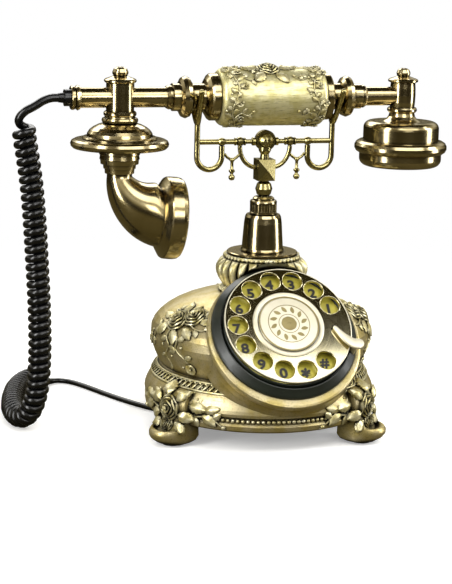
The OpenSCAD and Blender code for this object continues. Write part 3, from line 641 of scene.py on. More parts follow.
@dataclass(frozen=True)
class Ring:
    """Copies of one small piece round an axis, in millimetres and degrees."""

    count: int
    radius: float
    height: float
    start: float = 0.0
    step: float = 0.0
    place: Place = Place((0.0, 0.0, 0.0), 0.0)

    def of(self, one: Sketch, name: str, finish: Finish, crease: float = 38) -> bpy.types.Object:
        """Set the copies out and return them as one plain mesh.

        Args:
            one: the small piece, drawn at the origin with X pointing outwards.
            name: name of the finished piece.
            finish: its finish.
            crease: angle above which an edge stays sharp.

        Returns:
            The finished object, with no modifier left on it.
        """
        seed = one.make(f"{name}_one", None, crease)
        live = seed.modifiers.new("copies", "NODES")
        live.node_group = repeat_tree()
        turn = self.place.turn
        values = {
            "Count": self.count, "Radius": self.radius * MM, "Height": self.height * MM,
            "Start": math.radians(self.start), "Step": math.radians(self.step or 360 / self.count),
            "Origin": self.place.origin_m, "Tilt": turn, "Finish": finish.material(),
        }
        for item in live.node_group.interface.items_tree:
            if item.in_out == "INPUT" and item.name in values:
                live[item.identifier] = values[item.name]
        bpy.context.view_layer.update()
        ready = seed.evaluated_get(bpy.context.evaluated_depsgraph_get())
        mesh = bpy.data.meshes.new_from_object(ready)
        mesh.name = name
        seed.modifiers.clear()
        bpy.data.objects.remove(seed)
        return finished(name, mesh, finish, crease)


def dome(radius: float, height: float, sides: int = 10, rows: int = 4, root: float = -0.5) -> Sketch:
    """Draw a small dome whose crown points along X.

    Args:
        radius: its half width.
        height: how far the crown stands out.
        sides: faces round it.
        rows: faces from foot to crown.
        root: how far its foot sits below the surface.

    Returns:
        The sketch, with the surface at X = 0.
    """
    one = Sketch()
    up = np.linspace(0, math.pi / 2, rows + 1)
    reach = np.concatenate([[0.0, radius], radius * np.cos(up)])
    out = np.concatenate([[root, root], height * np.sin(up)])
    turn = np.arange(sides) * TAU / sides
    points = np.stack(
        [
            np.repeat(out[:, None], sides, 1),
            reach[:, None] * np.cos(turn)[None],
            reach[:, None] * np.sin(turn)[None],
        ],
        -1,
    )
    one.grid(points, round_columns=True)
    return one


# ------------------------------------------------------------------ cast relief


@dataclass
class Relief:
    """Flowers, leaves and vines laid on a surface, all in one cast skin."""

    wrap: Wrap
    sketch: Sketch = field(default_factory=Sketch)
    mirror: bool = False

    def lay(self, x: np.ndarray, y: np.ndarray, height: np.ndarray, root: float = -0.9) -> None:
        """Lay one closed patch on the surface."""
        self.sketch.pillow(self.wrap, -x if self.mirror else x, y, height, root)

    def leaf(self, x: float, y: float, heading: float, length: float, width: float, lift: float = 1.8) -> None:
        """Lay a pointed leaf with a midrib, side veins, a toothed edge and a raised tip.

        Args:
            x: place of its stalk end across.
            y: place of its stalk end along.
            heading: the way it points, in degrees from the across direction.
            length: from stalk to tip.
            width: at its widest.
            lift: height of its crown.
        """
        t, s = np.meshgrid(np.linspace(0, 1, 15), np.linspace(-1, 1, 11))
        tooth = 1 + 0.1 * np.sin(t * 30)
        half = 0.5 * width * np.sin(math.pi * t**0.8) ** 0.85 * tooth
        half = np.where((t <= 0) | (t >= 1), 0.02, half)
        bend = 0.1 * length * np.sin(math.pi * t * 0.9)
        along = length * t + 0.12 * width * np.abs(s) * np.sin(math.pi * t)
        across = half * s + bend * 0.5
        rise = lift * (0.35 + 0.65 * np.sin(math.pi * np.clip(t * 0.92 + 0.06, 0, 1)))
        height = rise * (0.95 - 0.5 * np.abs(s) ** 2.2)
        height += 0.2 * lift * np.exp(-((s / 0.16) ** 2)) * (1 - t)
        height += 0.1 * lift * np.sin((t * 7 - np.abs(s) * 1.6) * TAU) * (1 - np.exp(-((s / 0.2) ** 2)))
        height += 0.55 * lift * np.clip(t - 0.7, 0, 1) / 0.3
        a = math.radians(heading)
        self.lay(
            x + along * math.cos(a) - across * math.sin(a), y + along * math.sin(a) + across * math.cos(a), height
        )

    def petal(self, x: float, y: float, heading: float, inner: float, outer: float, half: float, low: float,
              high: float) -> None:
        """Lay one cupped petal whose lip rolls outwards."""
        t, s = np.meshgrid(np.linspace(0, 1, 8), np.linspace(-1, 1, 9))
        along = inner + (outer - inner) * t * (1 - 0.16 * s**2)
        across = half * s * (0.6 + 0.5 * np.sin(math.pi * np.clip(t * 0.85, 0, 1)))
        height = low + (high - low) * t**1.7 * (1 - 0.22 * s**2)
        height -= 0.45 * (high - low) * np.clip((t - 0.86) / 0.14, 0, 1) ** 2
        height += 0.06 * (high - low) * np.cos(s * 5)
        self.lay(
            x + along * np.cos(heading) - across * np.sin(heading),
            y + along * np.sin(heading) + across * np.cos(heading),
            height,
        )

    def rose(self, x: float, y: float, radius: float, height: float, turn: float = 0.0) -> None:
        """Lay an open rose: four rings of petals that rise to a wound bud.

        Args:
            x: place across.
            y: place along.
            radius: of the outer ring.
            height: of the bud.
            turn: in degrees, so that two roses differ.
        """
        rings = ((6, 0.5, 1.0, 0.1, 0.5), (5, 0.3, 0.8, 0.25, 0.72), (4, 0.14, 0.57, 0.42, 0.9),
                 (3, 0.02, 0.34, 0.6, 1.02))
        for k, (count, inner, outer, low, high) in enumerate(rings):
            for i in range(count):
                heading = math.radians(turn + 31 * k) + i * TAU / count
                self.petal(
                    x, y, heading, inner * radius, outer * radius, radius * outer * math.sin(math.pi / count) * 1.1,
                    low * height, high * height,
                )
        self.knob(x, y, 0.15 * radius, 1.06 * height)

    def knob(self, x: float, y: float, radius: float, height: float) -> None:
        """Lay a small round bud."""
        t, a = np.meshgrid(np.linspace(0.02, 1, 6), np.linspace(0, TAU, 13))
        self.lay(x + radius * t * np.cos(a), y + radius * t * np.sin(a), height * np.sqrt(np.clip(1 - t**2.4, 0, 1)))

    def blossom(self, x: float, y: float, radius: float, height: float, petals: int = 5) -> None:
        """Lay a flat blossom of round petals about a button."""
        for i in range(petals):
            heading = i * TAU / petals + x
            self.petal(x, y, heading, 0.15 * radius, radius, 0.52 * radius, 0.35 * height, height)
        self.knob(x, y, 0.28 * radius, 1.15 * height)

    def vine(self, points: Sequence[tuple[float, float]], thick: float, end: Optional[float] = None) -> None:
        """Lay a round stem through points.

        Args:
            points: places that it passes.
            thick: its width at the root.
            end: its width at the tip, where it tapers.
        """
        line = smooth_line([(px, py, 0) for px, py in points], 1.2)
        width = np.linspace(thick, thick if end is None else end, len(line)) / 2
        run = np.gradient(line, axis=0)
        run /= np.linalg.norm(run, axis=1)[:, None]
        turn = np.linspace(0, math.pi, 6)
        across = np.cos(turn)[:, None] * width
        x = line[:, 0] - across * run[:, 1]
        y = line[:, 1] + across * run[:, 0]
        self.lay(x, y, np.sin(turn)[:, None] * width * 1.5 + 0.05)



# ------------------------------------------------------------------ studio


@dataclass
class Studio:
    """Camera, pale floor, soft lights and the room that the plating reflects."""

    azimuth: float = -16.0
    elevation: float = 12.0
    roll: float = 1.3
    distance_mm: float = 1250.0
    aim: tuple[float, float, float] = (0.0, 0.0, 97.0)
    aside_mm: float = 25.2
    lens_mm: float = 107.0

    def camera(self) -> None:
        """Set the camera up with no shift and no depth of field."""
        a, e, r = (math.radians(v) for v in (self.azimuth, self.elevation, self.roll))
        back = Vector((math.sin(a) * math.cos(e), -math.cos(a) * math.cos(e), math.sin(e)))
        level = Vector((math.cos(a), math.sin(a), 0))
        rise = back.cross(level)
        right = math.cos(r) * level + math.sin(r) * rise
        up = back.cross(right)
        data = bpy.data.cameras.new("studio_camera")
        data.lens = self.lens_mm
        data.clip_end = 20
        data.clip_start = 0.05
        camera = bpy.data.objects.new("studio_camera", data)
        bpy.context.scene.collection.objects.link(camera)
        place = (Vector(self.aim) + back * self.distance_mm - right * self.aside_mm) * MM
        turn = np.array([right, up, back]).T
        camera.matrix_world = Matrix.LocRotScale(place, Matrix(turn.tolist()), None)
        bpy.context.scene.camera = camera

    def light(self, name: str, place: Point, aim: Point, size: tuple[float, float], watts: float) -> None:
        """Hang one soft box.

        Args:
            name: of the light.
            place: its middle, in metres.
            aim: the point that it faces, in metres.
            size: its width and height, in metres.
            watts: its power.
        """
        data = bpy.data.lights.new(name, "AREA")
        data.shape = "RECTANGLE"
        data.size, data.size_y = size
        data.energy = watts
        lamp = bpy.data.objects.new(name, data)
        bpy.context.scene.collection.objects.link(lamp)
        lamp.location = place
        lamp.rotation_euler = (Vector(aim) - Vector(place)).to_track_quat("-Z", "Y").to_euler()

    def room(self) -> None:
        """Give a white backdrop to the eye, and a banded room to reflections."""
        world = bpy.data.worlds.new("studio_room")
        bpy.context.scene.world = world
        world.use_nodes = True
        tree = world.node_tree
        tree.nodes.clear()
        ray = add_node(tree, "ShaderNodeTexCoord").outputs["Generated"]
        height = add_node(tree, "ShaderNodeSeparateXYZ", {0: ray}).outputs["Z"]
        share = add_node(tree, "ShaderNodeMapRange", {"Value": height, "From Min": -1.0, "From Max": 1.0})
        bands = add_node(tree, "ShaderNodeValToRGB", {0: share.outputs[0]})
        ramp = bands.color_ramp
        stops = ((0.0, "#8f8971"), (0.42, "#5c563f"), (0.49, "#221d0f"), (0.55, "#322b15"), (0.62, "#a59d80"),
                 (0.7, "#fbf8ee"), (0.8, "#7d7350"), (0.9, "#332c10"), (1.0, "#241f08"))
        while len(ramp.elements) < len(stops):
            ramp.elements.new(0.5)
        for element, (at, tone) in zip(ramp.elements, stops):
            element.position = at
            element.color = linear(tone)
        room = add_node(tree, "ShaderNodeBackground", {"Color": bands.outputs[0], "Strength": 1.0})
        paper = add_node(tree, "ShaderNodeBackground", {"Color": (1.0, 1.0, 1.0, 1.0), "Strength": 1.0})
        seen = add_node(tree, "ShaderNodeLightPath").outputs["Is Camera Ray"]
        mixed = add_node(tree, "ShaderNodeMixShader", {0: seen, 1: room.outputs[0], 2: paper.outputs[0]})
        add_node(tree, "ShaderNodeOutputWorld", {"Surface": mixed.outputs[0]})

    def floor(self) -> None:
        """Lay a pale sweep that takes a faint shadow."""
        half = 6.0
        mesh = bpy.data.meshes.new("pale_floor")
        mesh.from_pydata([(-half, -half, 0), (half, -half, 0), (half, half, 0), (-half, half, 0)], [], [(0, 1, 2, 3)])
        paper = bpy.data.materials.new("white_paper")
        paper.use_nodes = True
        tree = paper.node_tree
        shader = tree.nodes["Principled BSDF"]
        shader.inputs["Base Color"].default_value = (0.93, 0.93, 0.93, 1)
        shader.inputs["Roughness"].default_value = 0.9
        shader.inputs["Specular IOR Level"].default_value = 0.1
        shader.inputs["Emission Color"].default_value = (1, 1, 1, 1)
        shader.inputs["Emission Strength"].default_value = 0.3
        place = add_node(tree, "ShaderNodeTexCoord").outputs["Object"]
        reach = add_node(tree, "ShaderNodeVectorMath", {0: place}, operation="LENGTH").outputs["Value"]
        fade = add_node(
            tree, "ShaderNodeMapRange", {"Value": reach, "From Min": 0.28, "From Max": 0.75},
            interpolation_type="SMOOTHSTEP",
        )
        clear = add_node(tree, "ShaderNodeBsdfTransparent")
        sweep = add_node(
            tree, "ShaderNodeMixShader", {0: fade.outputs[0], 1: shader.outputs[0], 2: clear.outputs[0]}
        )
        dim = add_node(tree, "ShaderNodeBsdfDiffuse", {"Color": linear("#565039")})
        seen = add_node(tree, "ShaderNodeLightPath").outputs["Is Camera Ray"]
        both = add_node(tree, "ShaderNodeMixShader", {0: seen, 1: dim.outputs[0], 2: sweep.outputs[0]})
        tree.links.new(both.outputs[0], tree.nodes["Material Output"].inputs["Surface"])
        mesh.materials.append(paper)
        floor = bpy.data.objects.new("pale_floor", mesh)
        bpy.context.scene.collection.objects.link(floor)

    def build(self) -> None:
        """Build the whole set."""
        self.camera()
        self.room()
        self.floor()
        self.light("overhead_box", (0.22, -0.69, 0.95), (0.22, -0.69, 0.0), (1.1, 0.62), 8.0)
        self.light("left_strip", (-1.0, -0.5, 0.5), (0, 0, 0.15), (0.28, 1.1), 12)
        self.light("right_strip", (1.0, -0.25, 0.45), (0, 0, 0.15), (0.3, 1.1), 9)
        self.light("front_fill", (0.15, -1.5, 0.7), (0, 0, 0.12), (0.7, 0.4), 5.0)
        self.light("rear_box", (-0.1, 0.9, 0.9), (0, 0, 0.15), (1.4, 0.5), 9)
        view = bpy.context.scene.view_settings
        view.view_transform = "Standard"
        view.look = "None"


# ------------------------------------------------------------------ cord


@dataclass
class CurlyCord:
    """One piece of moulded curly cord with its two straight tails."""

    diameter: float = 5.8
    lead_diameter: float = 3.8
    coil_radius: float = 5.5
    pitch_top: float = 6.3
    pitch_low: float = 5.9
    steps_per_turn: int = 18
    top_tail: tuple = (
        (-148, 0, 237.5), (-153, 0, 237.3), (-158.5, 0, 235.4), (-164, 0, 232), (-169.5, 0, 229.2),
        (-174.5, 0, 226.6), (-177.4, 0, 223.2), (-177.8, 0, 219.6),
    )
    coil_line: tuple = (
        (-171.6, 0, 219), (-171.2, 0, 211), (-169, 0, 197), (-166.2, 0, 176), (-164.2, 0, 151), (-162.6, 0, 123),
        (-161.2, 0, 95), (-160.6, 0, 68), (-161.2, 0, 46), (-162.6, 1, 32), (-164.6, 3.4, 22), (-167.4, 8, 14.2),
        (-170.8, 15, 9.6), (-173.4, 25, 8.5), (-173.6, 40, 8.5), (-171.4, 56, 8.5), (-168, 73, 8.5),
        (-163, 92, 8.5), (-155.4, 110, 8.5), (-146, 122, 8.5), (-138.4, 128, 8.5),
    )
    base_tail: tuple = (
        (-138.4, 128, 3.1), (-134.6, 131, 2.4), (-128, 134.6, 2), (-121, 134, 2), (-114, 128, 2),
        (-108, 118, 2), (-101, 103, 2), (-93, 85, 2), (-85, 69, 2), (-77, 55, 2), (-69, 43, 2),
        (-62.4, 34.6, 2.6), (-57.4, 29.4, 4.8), (-55, 27, 8.4), (-55, 27, 11),
    )

    def coil(self) -> np.ndarray:
        """Wind the coil about its line, with its first point at the left and its last at the bottom."""
        line = smooth_line(self.coil_line, 0.25)
        side, other = carried_sides(line, (-1, 0, 0))
        reach = np.concatenate([[0], np.cumsum(np.linalg.norm(np.diff(line, axis=0), axis=1))])
        pitch = np.interp(reach / reach[-1], [0, 0.6, 1], [self.pitch_top, self.pitch_low, self.pitch_low])
        turn = np.concatenate([[0], np.cumsum(np.diff(reach) * TAU / pitch[:-1])])
        down = math.atan2(-other[-1][2], -side[-1][2])
        last = TAU * round((turn[-1] - down) / TAU) + down
        turn *= last / turn[-1]
        at = np.linspace(0, last, round(last / TAU * self.steps_per_turn) + 1)
        place = [np.interp(at, turn, v) for v in (*line.T, *side.T, *other.T)]
        middle, a, b = (np.stack(place[i : i + 3], -1) for i in (0, 3, 6))
        return middle + self.coil_radius * (np.cos(at)[:, None] * a + np.sin(at)[:, None] * b)

    def line(self) -> np.ndarray:
        """Join the tails and the coil, and ease the two joins."""
        coil = self.coil()
        whole = smooth_line(self.top_tail[:-1], 2.0)
        low = smooth_line(self.base_tail[1:], 2.0)
        points = np.vstack([whole, coil[1:-1], low])
        joins = (len(whole), len(whole) + len(coil) - 2)
        for _ in range(14):
            eased = points.copy()
            for join in joins:
                span = slice(join - 5, join + 5)
                beside = points[join - 6 : join + 4] + points[join - 4 : join + 6]
                eased[span] = 0.5 * points[span] + 0.25 * beside
            points = eased
        return points

    def build(self) -> None:
        line = self.line()
        tail = len(smooth_line(self.base_tail[1:], 2.0))
        radius = np.full(len(line), self.diameter / 2)
        radius[-tail:] = self.lead_diameter / 2
        radius[-tail:][:6] = np.linspace(self.diameter, self.lead_diameter, 6) / 2
        sketch = Sketch()
        sketch.tube(line, radius, 12, (0, 1, 0))
        cord = sketch.make("curly_handset_cord", CORD_PVC, 60)
        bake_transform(cord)
        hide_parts("cord_tail_top", "cord_curl_hanging", "cord_curl_lying", "cord_tail_base")


# ------------------------------------------------------------------ base


@dataclass
class BodyRelief:
    """Roses, leaves and vines cast on the shoulders of the egg-shaped body, with a lattice band at its waist."""

    widest: float = 79.0
    widest_z: float = 70.0
    crown: float = 31.0
    waist: float = 72.0
    waist_z: float = 47.0
    band_z: float = 42.6
    band_radius: float = 75.8
    band_slope: float = math.radians(52)

    def meridian(self) -> np.ndarray:
        """Return the egg's outline as reach, radius, height and the outward direction."""
        low = [
            (self.waist + (self.widest - self.waist) * math.sin(t * math.pi / 2), self.waist_z
             + (self.widest_z - self.waist_z) * t)
            for t in np.linspace(0, 1, 24, endpoint=False)
        ]
        high = [
            (self.widest * math.cos(t), self.widest_z + self.crown * math.sin(t))
            for t in np.linspace(0, math.radians(80), 60)
        ]
        line = np.array(low + high)
        reach = np.concatenate([[0], np.cumsum(np.linalg.norm(np.diff(line, axis=0), axis=1))])
        run = np.gradient(line, axis=0)
        run /= np.linalg.norm(run, axis=1)[:, None]
        return np.column_stack([reach, line, run[:, 1], -run[:, 0]])

    def egg(self, angle: float, z: float) -> Wrap:
        """Return a wrap whose zero lies on the egg.

        Args:
            angle: about Z, in degrees.
            z: height of the zero, in millimetres.

        Returns:
            The wrap: across is along the girth to the right, along is up the meridian.
        """
        m = self.meridian()
        zero = float(np.interp(z, m[:, 2], m[:, 0]))
        girth = float(np.interp(z, m[:, 2], m[:, 1]))

        def wrap(x: np.ndarray, y: np.ndarray, h: np.ndarray) -> np.ndarray:
            """Turn girth, reach and height above the egg into places."""
            r, up, out_r, out_z = (np.interp(y + zero, m[:, 0], m[:, k]) for k in (1, 2, 3, 4))
            a = math.radians(angle) + x / girth
            r = r + out_r * h
            return np.stack([r * np.cos(a), r * np.sin(a), up + out_z * h], -1)

        return wrap

    def shoulder(self, name: str, angle: float, mirror: bool) -> None:
        """Cast one shoulder's flowers.

        Args:
            name: the piece's name.
            angle: about Z, in degrees, of the flowers' middle.
            mirror: whether it is the right-hand twin.
        """
        relief = Relief(self.egg(angle, 84.0), mirror=mirror)
        relief.leaf(-1, 8, 118, 13, 8, 2.0)
        relief.leaf(3, 10, 62, 10, 6.5, 1.6)
        relief.leaf(18, 8, 28, 12, 7, 1.7)
        relief.leaf(19, 4, -8, 12, 6.5, 1.6)
        relief.leaf(-10, 1, 176, 11, 6.5, 1.6)
        relief.leaf(-6, -6, 214, 13, 8, 2.0)
        relief.leaf(2, -7, -72, 12, 7.5, 2.0)
        relief.leaf(10, -5, -38, 12, 7, 1.7)
        relief.rose(0, 0, 9.0, 5.2)
        relief.rose(12.5, 6.5, 9.0, 4.8, 40)
        relief.knob(-11, 7, 2.0, 2.2)
        relief.knob(22, 13, 1.7, 1.9)
        relief.vine([(0, -8), (-2, -14), (1, -20), (-4, -27), (-1, -34)], 1.7, 0.8)
        relief.vine([(4, -8), (9, -14), (8, -21), (15, -27), (19, -33)], 1.8, 0.9)
        relief.vine([(-8, -5), (-15, -10), (-20, -18), (-27, -22)], 1.6, 0.7)
        relief.vine([(14, -1), (20, -4), (27, -4), (34, 1), (40, 3)], 1.6, 0.7)
        relief.blossom(19, -34, 4.2, 2.2)
        relief.blossom(-28, -22, 3.4, 1.9)
        relief.blossom(41, 3, 3.2, 1.8)
        for x, y, heading, size in (
            (-2, -14, 205, 7), (1, -20, -20, 7), (-4, -27, 200, 6), (9, -14, 10, 7), (8, -21, 205, 7),
            (15, -27, 20, 7), (-15, -10, 120, 7), (-20, -18, 250, 7), (-24, -21, 100, 5), (20, -4, -60, 7),
            (27, -4, 50, 7), (34, 1, -50, 6), (-1, -34, 250, 6), (-8, 10, 150, 7),
        ):
            relief.leaf(x, y, heading, size, size * 0.56, 1.3)
        for x, y in ((-6, -20), (13, -19), (-23, -14), (30, 2), (3, -27), (12, -34), (-6, 14)):
            relief.knob(x, y, 1.1, 1.3)
        placed(relief.sketch.make(name, CREST_GOLD, 44), "base", CREST_GOLD)

    def on_band(self, along: np.ndarray, out: np.ndarray) -> tuple[np.ndarray, np.ndarray]:
        """Return radius and height of places up the sloping band and out from it."""
        c, s = math.cos(self.band_slope), math.sin(self.band_slope)
        return self.band_radius - along * c + out * s, self.band_z + along * s + out * c

    def lattice(self) -> None:
        """Weave the band: two waves that cross, between two plain cords."""
        count, rise = 104, 2.5
        one = Sketch()
        t = np.linspace(-0.5, 0.5, 9)
        for side in (-1, 1):
            angle = t * TAU / count
            r, z = self.on_band(rise * np.sin(math.pi * t) * side, 0.35 + 0.5 * np.cos(math.pi * t) * side)
            one.tube(np.stack([r * np.cos(angle), r * np.sin(angle), z], -1), 0.62, 6, (1, 0, 0))
        placed(Ring(count, 0.0, 0.0).of(one, "waist_lattice", CREST_GOLD, 60), "base", CREST_GOLD)
        rims = Sketch()
        for along in (-3.3, 3.3):
            r, z = self.on_band(np.array(along), np.array(0.0))
            rims.lathe(arc((float(r), float(z)), 0.95, 0, 330, 11), lambda p: p, 144)
        placed(rims.make("waist_cords", CREST_GOLD), "base", CREST_GOLD)

    def build(self) -> None:
        """Cast both front shoulders, one rear garland and the waist band."""
        self.shoulder("rose_garland_front_left", 199.0, False)
        self.shoulder("rose_garland_front_right", -19.0, True)
        self.shoulder("rose_garland_rear", 84.0, False)
        self.lattice()


@dataclass
class PlinthBeads:
    """Beads in the groove of the plinth."""

    radius: float = 81.0
    z: float = 23.1
    bead: float = 1.65
    pitch: float = 3.5

    def build(self) -> None:
        """Set the beads out round the plinth."""
        count = round(TAU * self.radius / self.pitch)
        beads = Ring(count, self.radius, self.z).of(
            dome(self.bead, 1.75, 8, 3), "plinth_beads", CREST_GOLD
        )
        placed(beads, "base", CREST_GOLD)


@dataclass
class ScrollFoot:
    """A cast scroll foot: rounded toe, rolled edges and a cluster of roses and leaves."""

    node: str
    angle: float
    mirror: bool
    width: float = 27.0
    heel: float = 84.5
    plinth_radius: float = 82.6

    def outline(self) -> list[tuple[float, float]]:
        """Return the foot's side outline as radius and height."""
        return [
            (70, 15), (70, 5), (73, 2), (79, 0.8), (90, 0.8), (95, 2), (99, 4.6), (101.4, 7.8), (101.6, 10.4),
            (100, 12.2), (97.6, 12), (95.4, 10), (92.6, 9.4), (89.6, 12), (87.6, 17), (86.8, 22), (86.8, 26),
            (86.8, 30), (85.6, 34.5), (83, 38), (78, 40), (73, 38.8), (70, 34),
        ]

    def out(self, points: np.ndarray) -> np.ndarray:
        """Turn radius, side and height into the row frame."""
        a = math.radians(self.angle)
        r, s, z = points[..., 0], points[..., 1], points[..., 2]
        return np.stack([r * math.cos(a) - s * math.sin(a), r * math.sin(a) + s * math.cos(a), z], -1)

    def face(self) -> tuple[np.ndarray, np.ndarray]:
        """Return the line down the foot's outer face and its outward directions."""
        line = smooth_line(
            [(84.2, 0, 38), (86.4, 0, 33), (87, 0, 28), (87, 0, 22), (87.8, 0, 17), (89.2, 0, 12.4), (91, 0, 9.4),
             (93, 0, 6)], 0.5,
        )[::-1]
        run = np.gradient(line, axis=0)
        run /= np.linalg.norm(run, axis=1)[:, None]
        outward = np.stack([run[:, 2], np.zeros(len(run)), -run[:, 0]], -1)
        return line, outward

    def on_face(self, z: float) -> Wrap:
        """Return a wrap with its zero at a height on the outer face.

        Args:
            z: height of the zero.

        Returns:
            The wrap: across is to the right as seen from outside, along is up the face.
        """
        line, outward = self.face()
        reach = np.concatenate([[0], np.cumsum(np.linalg.norm(np.diff(line, axis=0), axis=1))])
        zero = float(np.interp(z, line[:, 2], reach))

        def wrap(x: np.ndarray, y: np.ndarray, h: np.ndarray) -> np.ndarray:
            """Turn side, reach and height above the face into places."""
            at = y + zero
            r, up, out_r, out_z = (
                np.interp(at, reach, v) for v in (line[:, 0], line[:, 2], outward[:, 0], outward[:, 2])
            )
            over = at - np.clip(at, 0, reach[-1])
            fall = np.clip(np.abs(x) - 0.5 * self.width + 2.0, 0, None)
            r = r + out_r * h - 0.16 * fall**1.6 - np.where(over > 0, over * 0.8, 0)
            up = up + out_z * h + np.where(over > 0, over * 0.5, over)
            return self.out(np.stack([r, x, up], -1))

        return wrap

    def on_plinth(self, z: float) -> Wrap:
        """Return a wrap round the plinth, with its zero on the foot's middle."""

        def wrap(x: np.ndarray, y: np.ndarray, h: np.ndarray) -> np.ndarray:
            """Turn side, rise and height above the plinth into places."""
            up = z + y
            r = np.interp(up, [15, 19.5, 26, 29, 34, 40, 46], [80.6, 82.6, 82.6, 82.2, 79.4, 75.6, 72.4]) + h
            a = x / self.plinth_radius
            return self.out(np.stack([r * np.cos(a), r * np.sin(a), up], -1))

        return wrap

    def block(self) -> Sketch:
        """Draw the scroll itself: a spoon in plan, with rounded sides and a thick lip curled up at the toe."""
        sketch = Sketch()
        line = np.array(self.outline())
        middle = np.array([80.0, 20.0])
        toward = middle - line
        toward /= np.linalg.norm(toward, axis=1)[:, None]
        half = self.width / 2
        layers = []
        for share in (-1, -0.98, -0.93, -0.84, -0.7, -0.5, -0.25, 0, 0.25, 0.5, 0.7, 0.84, 0.93, 0.98, 1):
            inset = 2.6 * (1 - math.sqrt(max(0.0, 1 - abs(share) ** 3.2)))
            ring = line + toward * inset
            spoon = max(0.0, 1 - abs(share) ** 2.3) ** (1 / 2.3)
            ring[:, 0] = np.where(ring[:, 0] > self.heel, self.heel + (ring[:, 0] - self.heel) * spoon, ring[:, 0])
            layers.append(np.stack([ring[:, 0], np.full(len(ring), share * half), ring[:, 1]], -1))
        sketch.grid(self.out(np.array(layers)), round_columns=True, lids=True)
        return sketch

    def dress(self) -> Relief:
        """Lay the roses, leaves and side sprays over the foot."""
        relief = Relief(self.on_face(25.5), mirror=self.mirror)
        relief.leaf(-2, 9, 100, 15, 10, 2.4)
        relief.leaf(7, 7, 48, 13, 8, 2.2)
        relief.leaf(-8, 5, 148, 12, 8, 2.2)
        relief.leaf(9, -2, -18, 12, 7.5, 2.0)
        relief.leaf(-9, -3, 196, 11, 7, 2.0)
        relief.leaf(7, -8, -40, 11, 7, 1.8)
        relief.leaf(-7, -8, 216, 10, 7, 1.8)
        relief.rose(0.5, 1, 8.8, 5.2)
        relief.wrap = self.on_face(15.0)
        relief.rose(-0.5, 0, 5.8, 3.6, 25)
        relief.knob(8.2, 2, 1.4, 1.7)
        relief.knob(-8.6, 1, 1.4, 1.7)
        relief.wrap = self.on_plinth(31.0)
        for side in (-1, 1):
            relief.mirror = side < 0
            relief.leaf(9, 4, 32, 15, 9, 2.4)
            relief.leaf(13, -1, -6, 16, 9, 2.6)
            relief.leaf(26, -3, 12, 13, 7.5, 2.2)
            relief.leaf(25, -6, -34, 13, 7.5, 2.2)
            relief.vine([(10, -6), (17, -8.5), (25, -7), (33, -8), (40, -13)], 1.9, 1.0)
            relief.leaf(17, -8, -58, 9, 6, 1.6)
            relief.leaf(33, -8, 34, 8, 5, 1.5)
            relief.knob(41, -13.5, 2.0, 2.4)
            relief.blossom(20, 4, 4.4, 2.4)
        return relief

    def build(self) -> None:
        """Cast the foot as one piece and its flowers as another."""
        placed(self.block().make(f"{self.node}_scroll", AGED_GOLD, 50), "base", AGED_GOLD, self.node)
        placed(self.dress().sketch.make(f"{self.node}_roses", CREST_GOLD, 44), "base", CREST_GOLD)


# ------------------------------------------------------------------ column


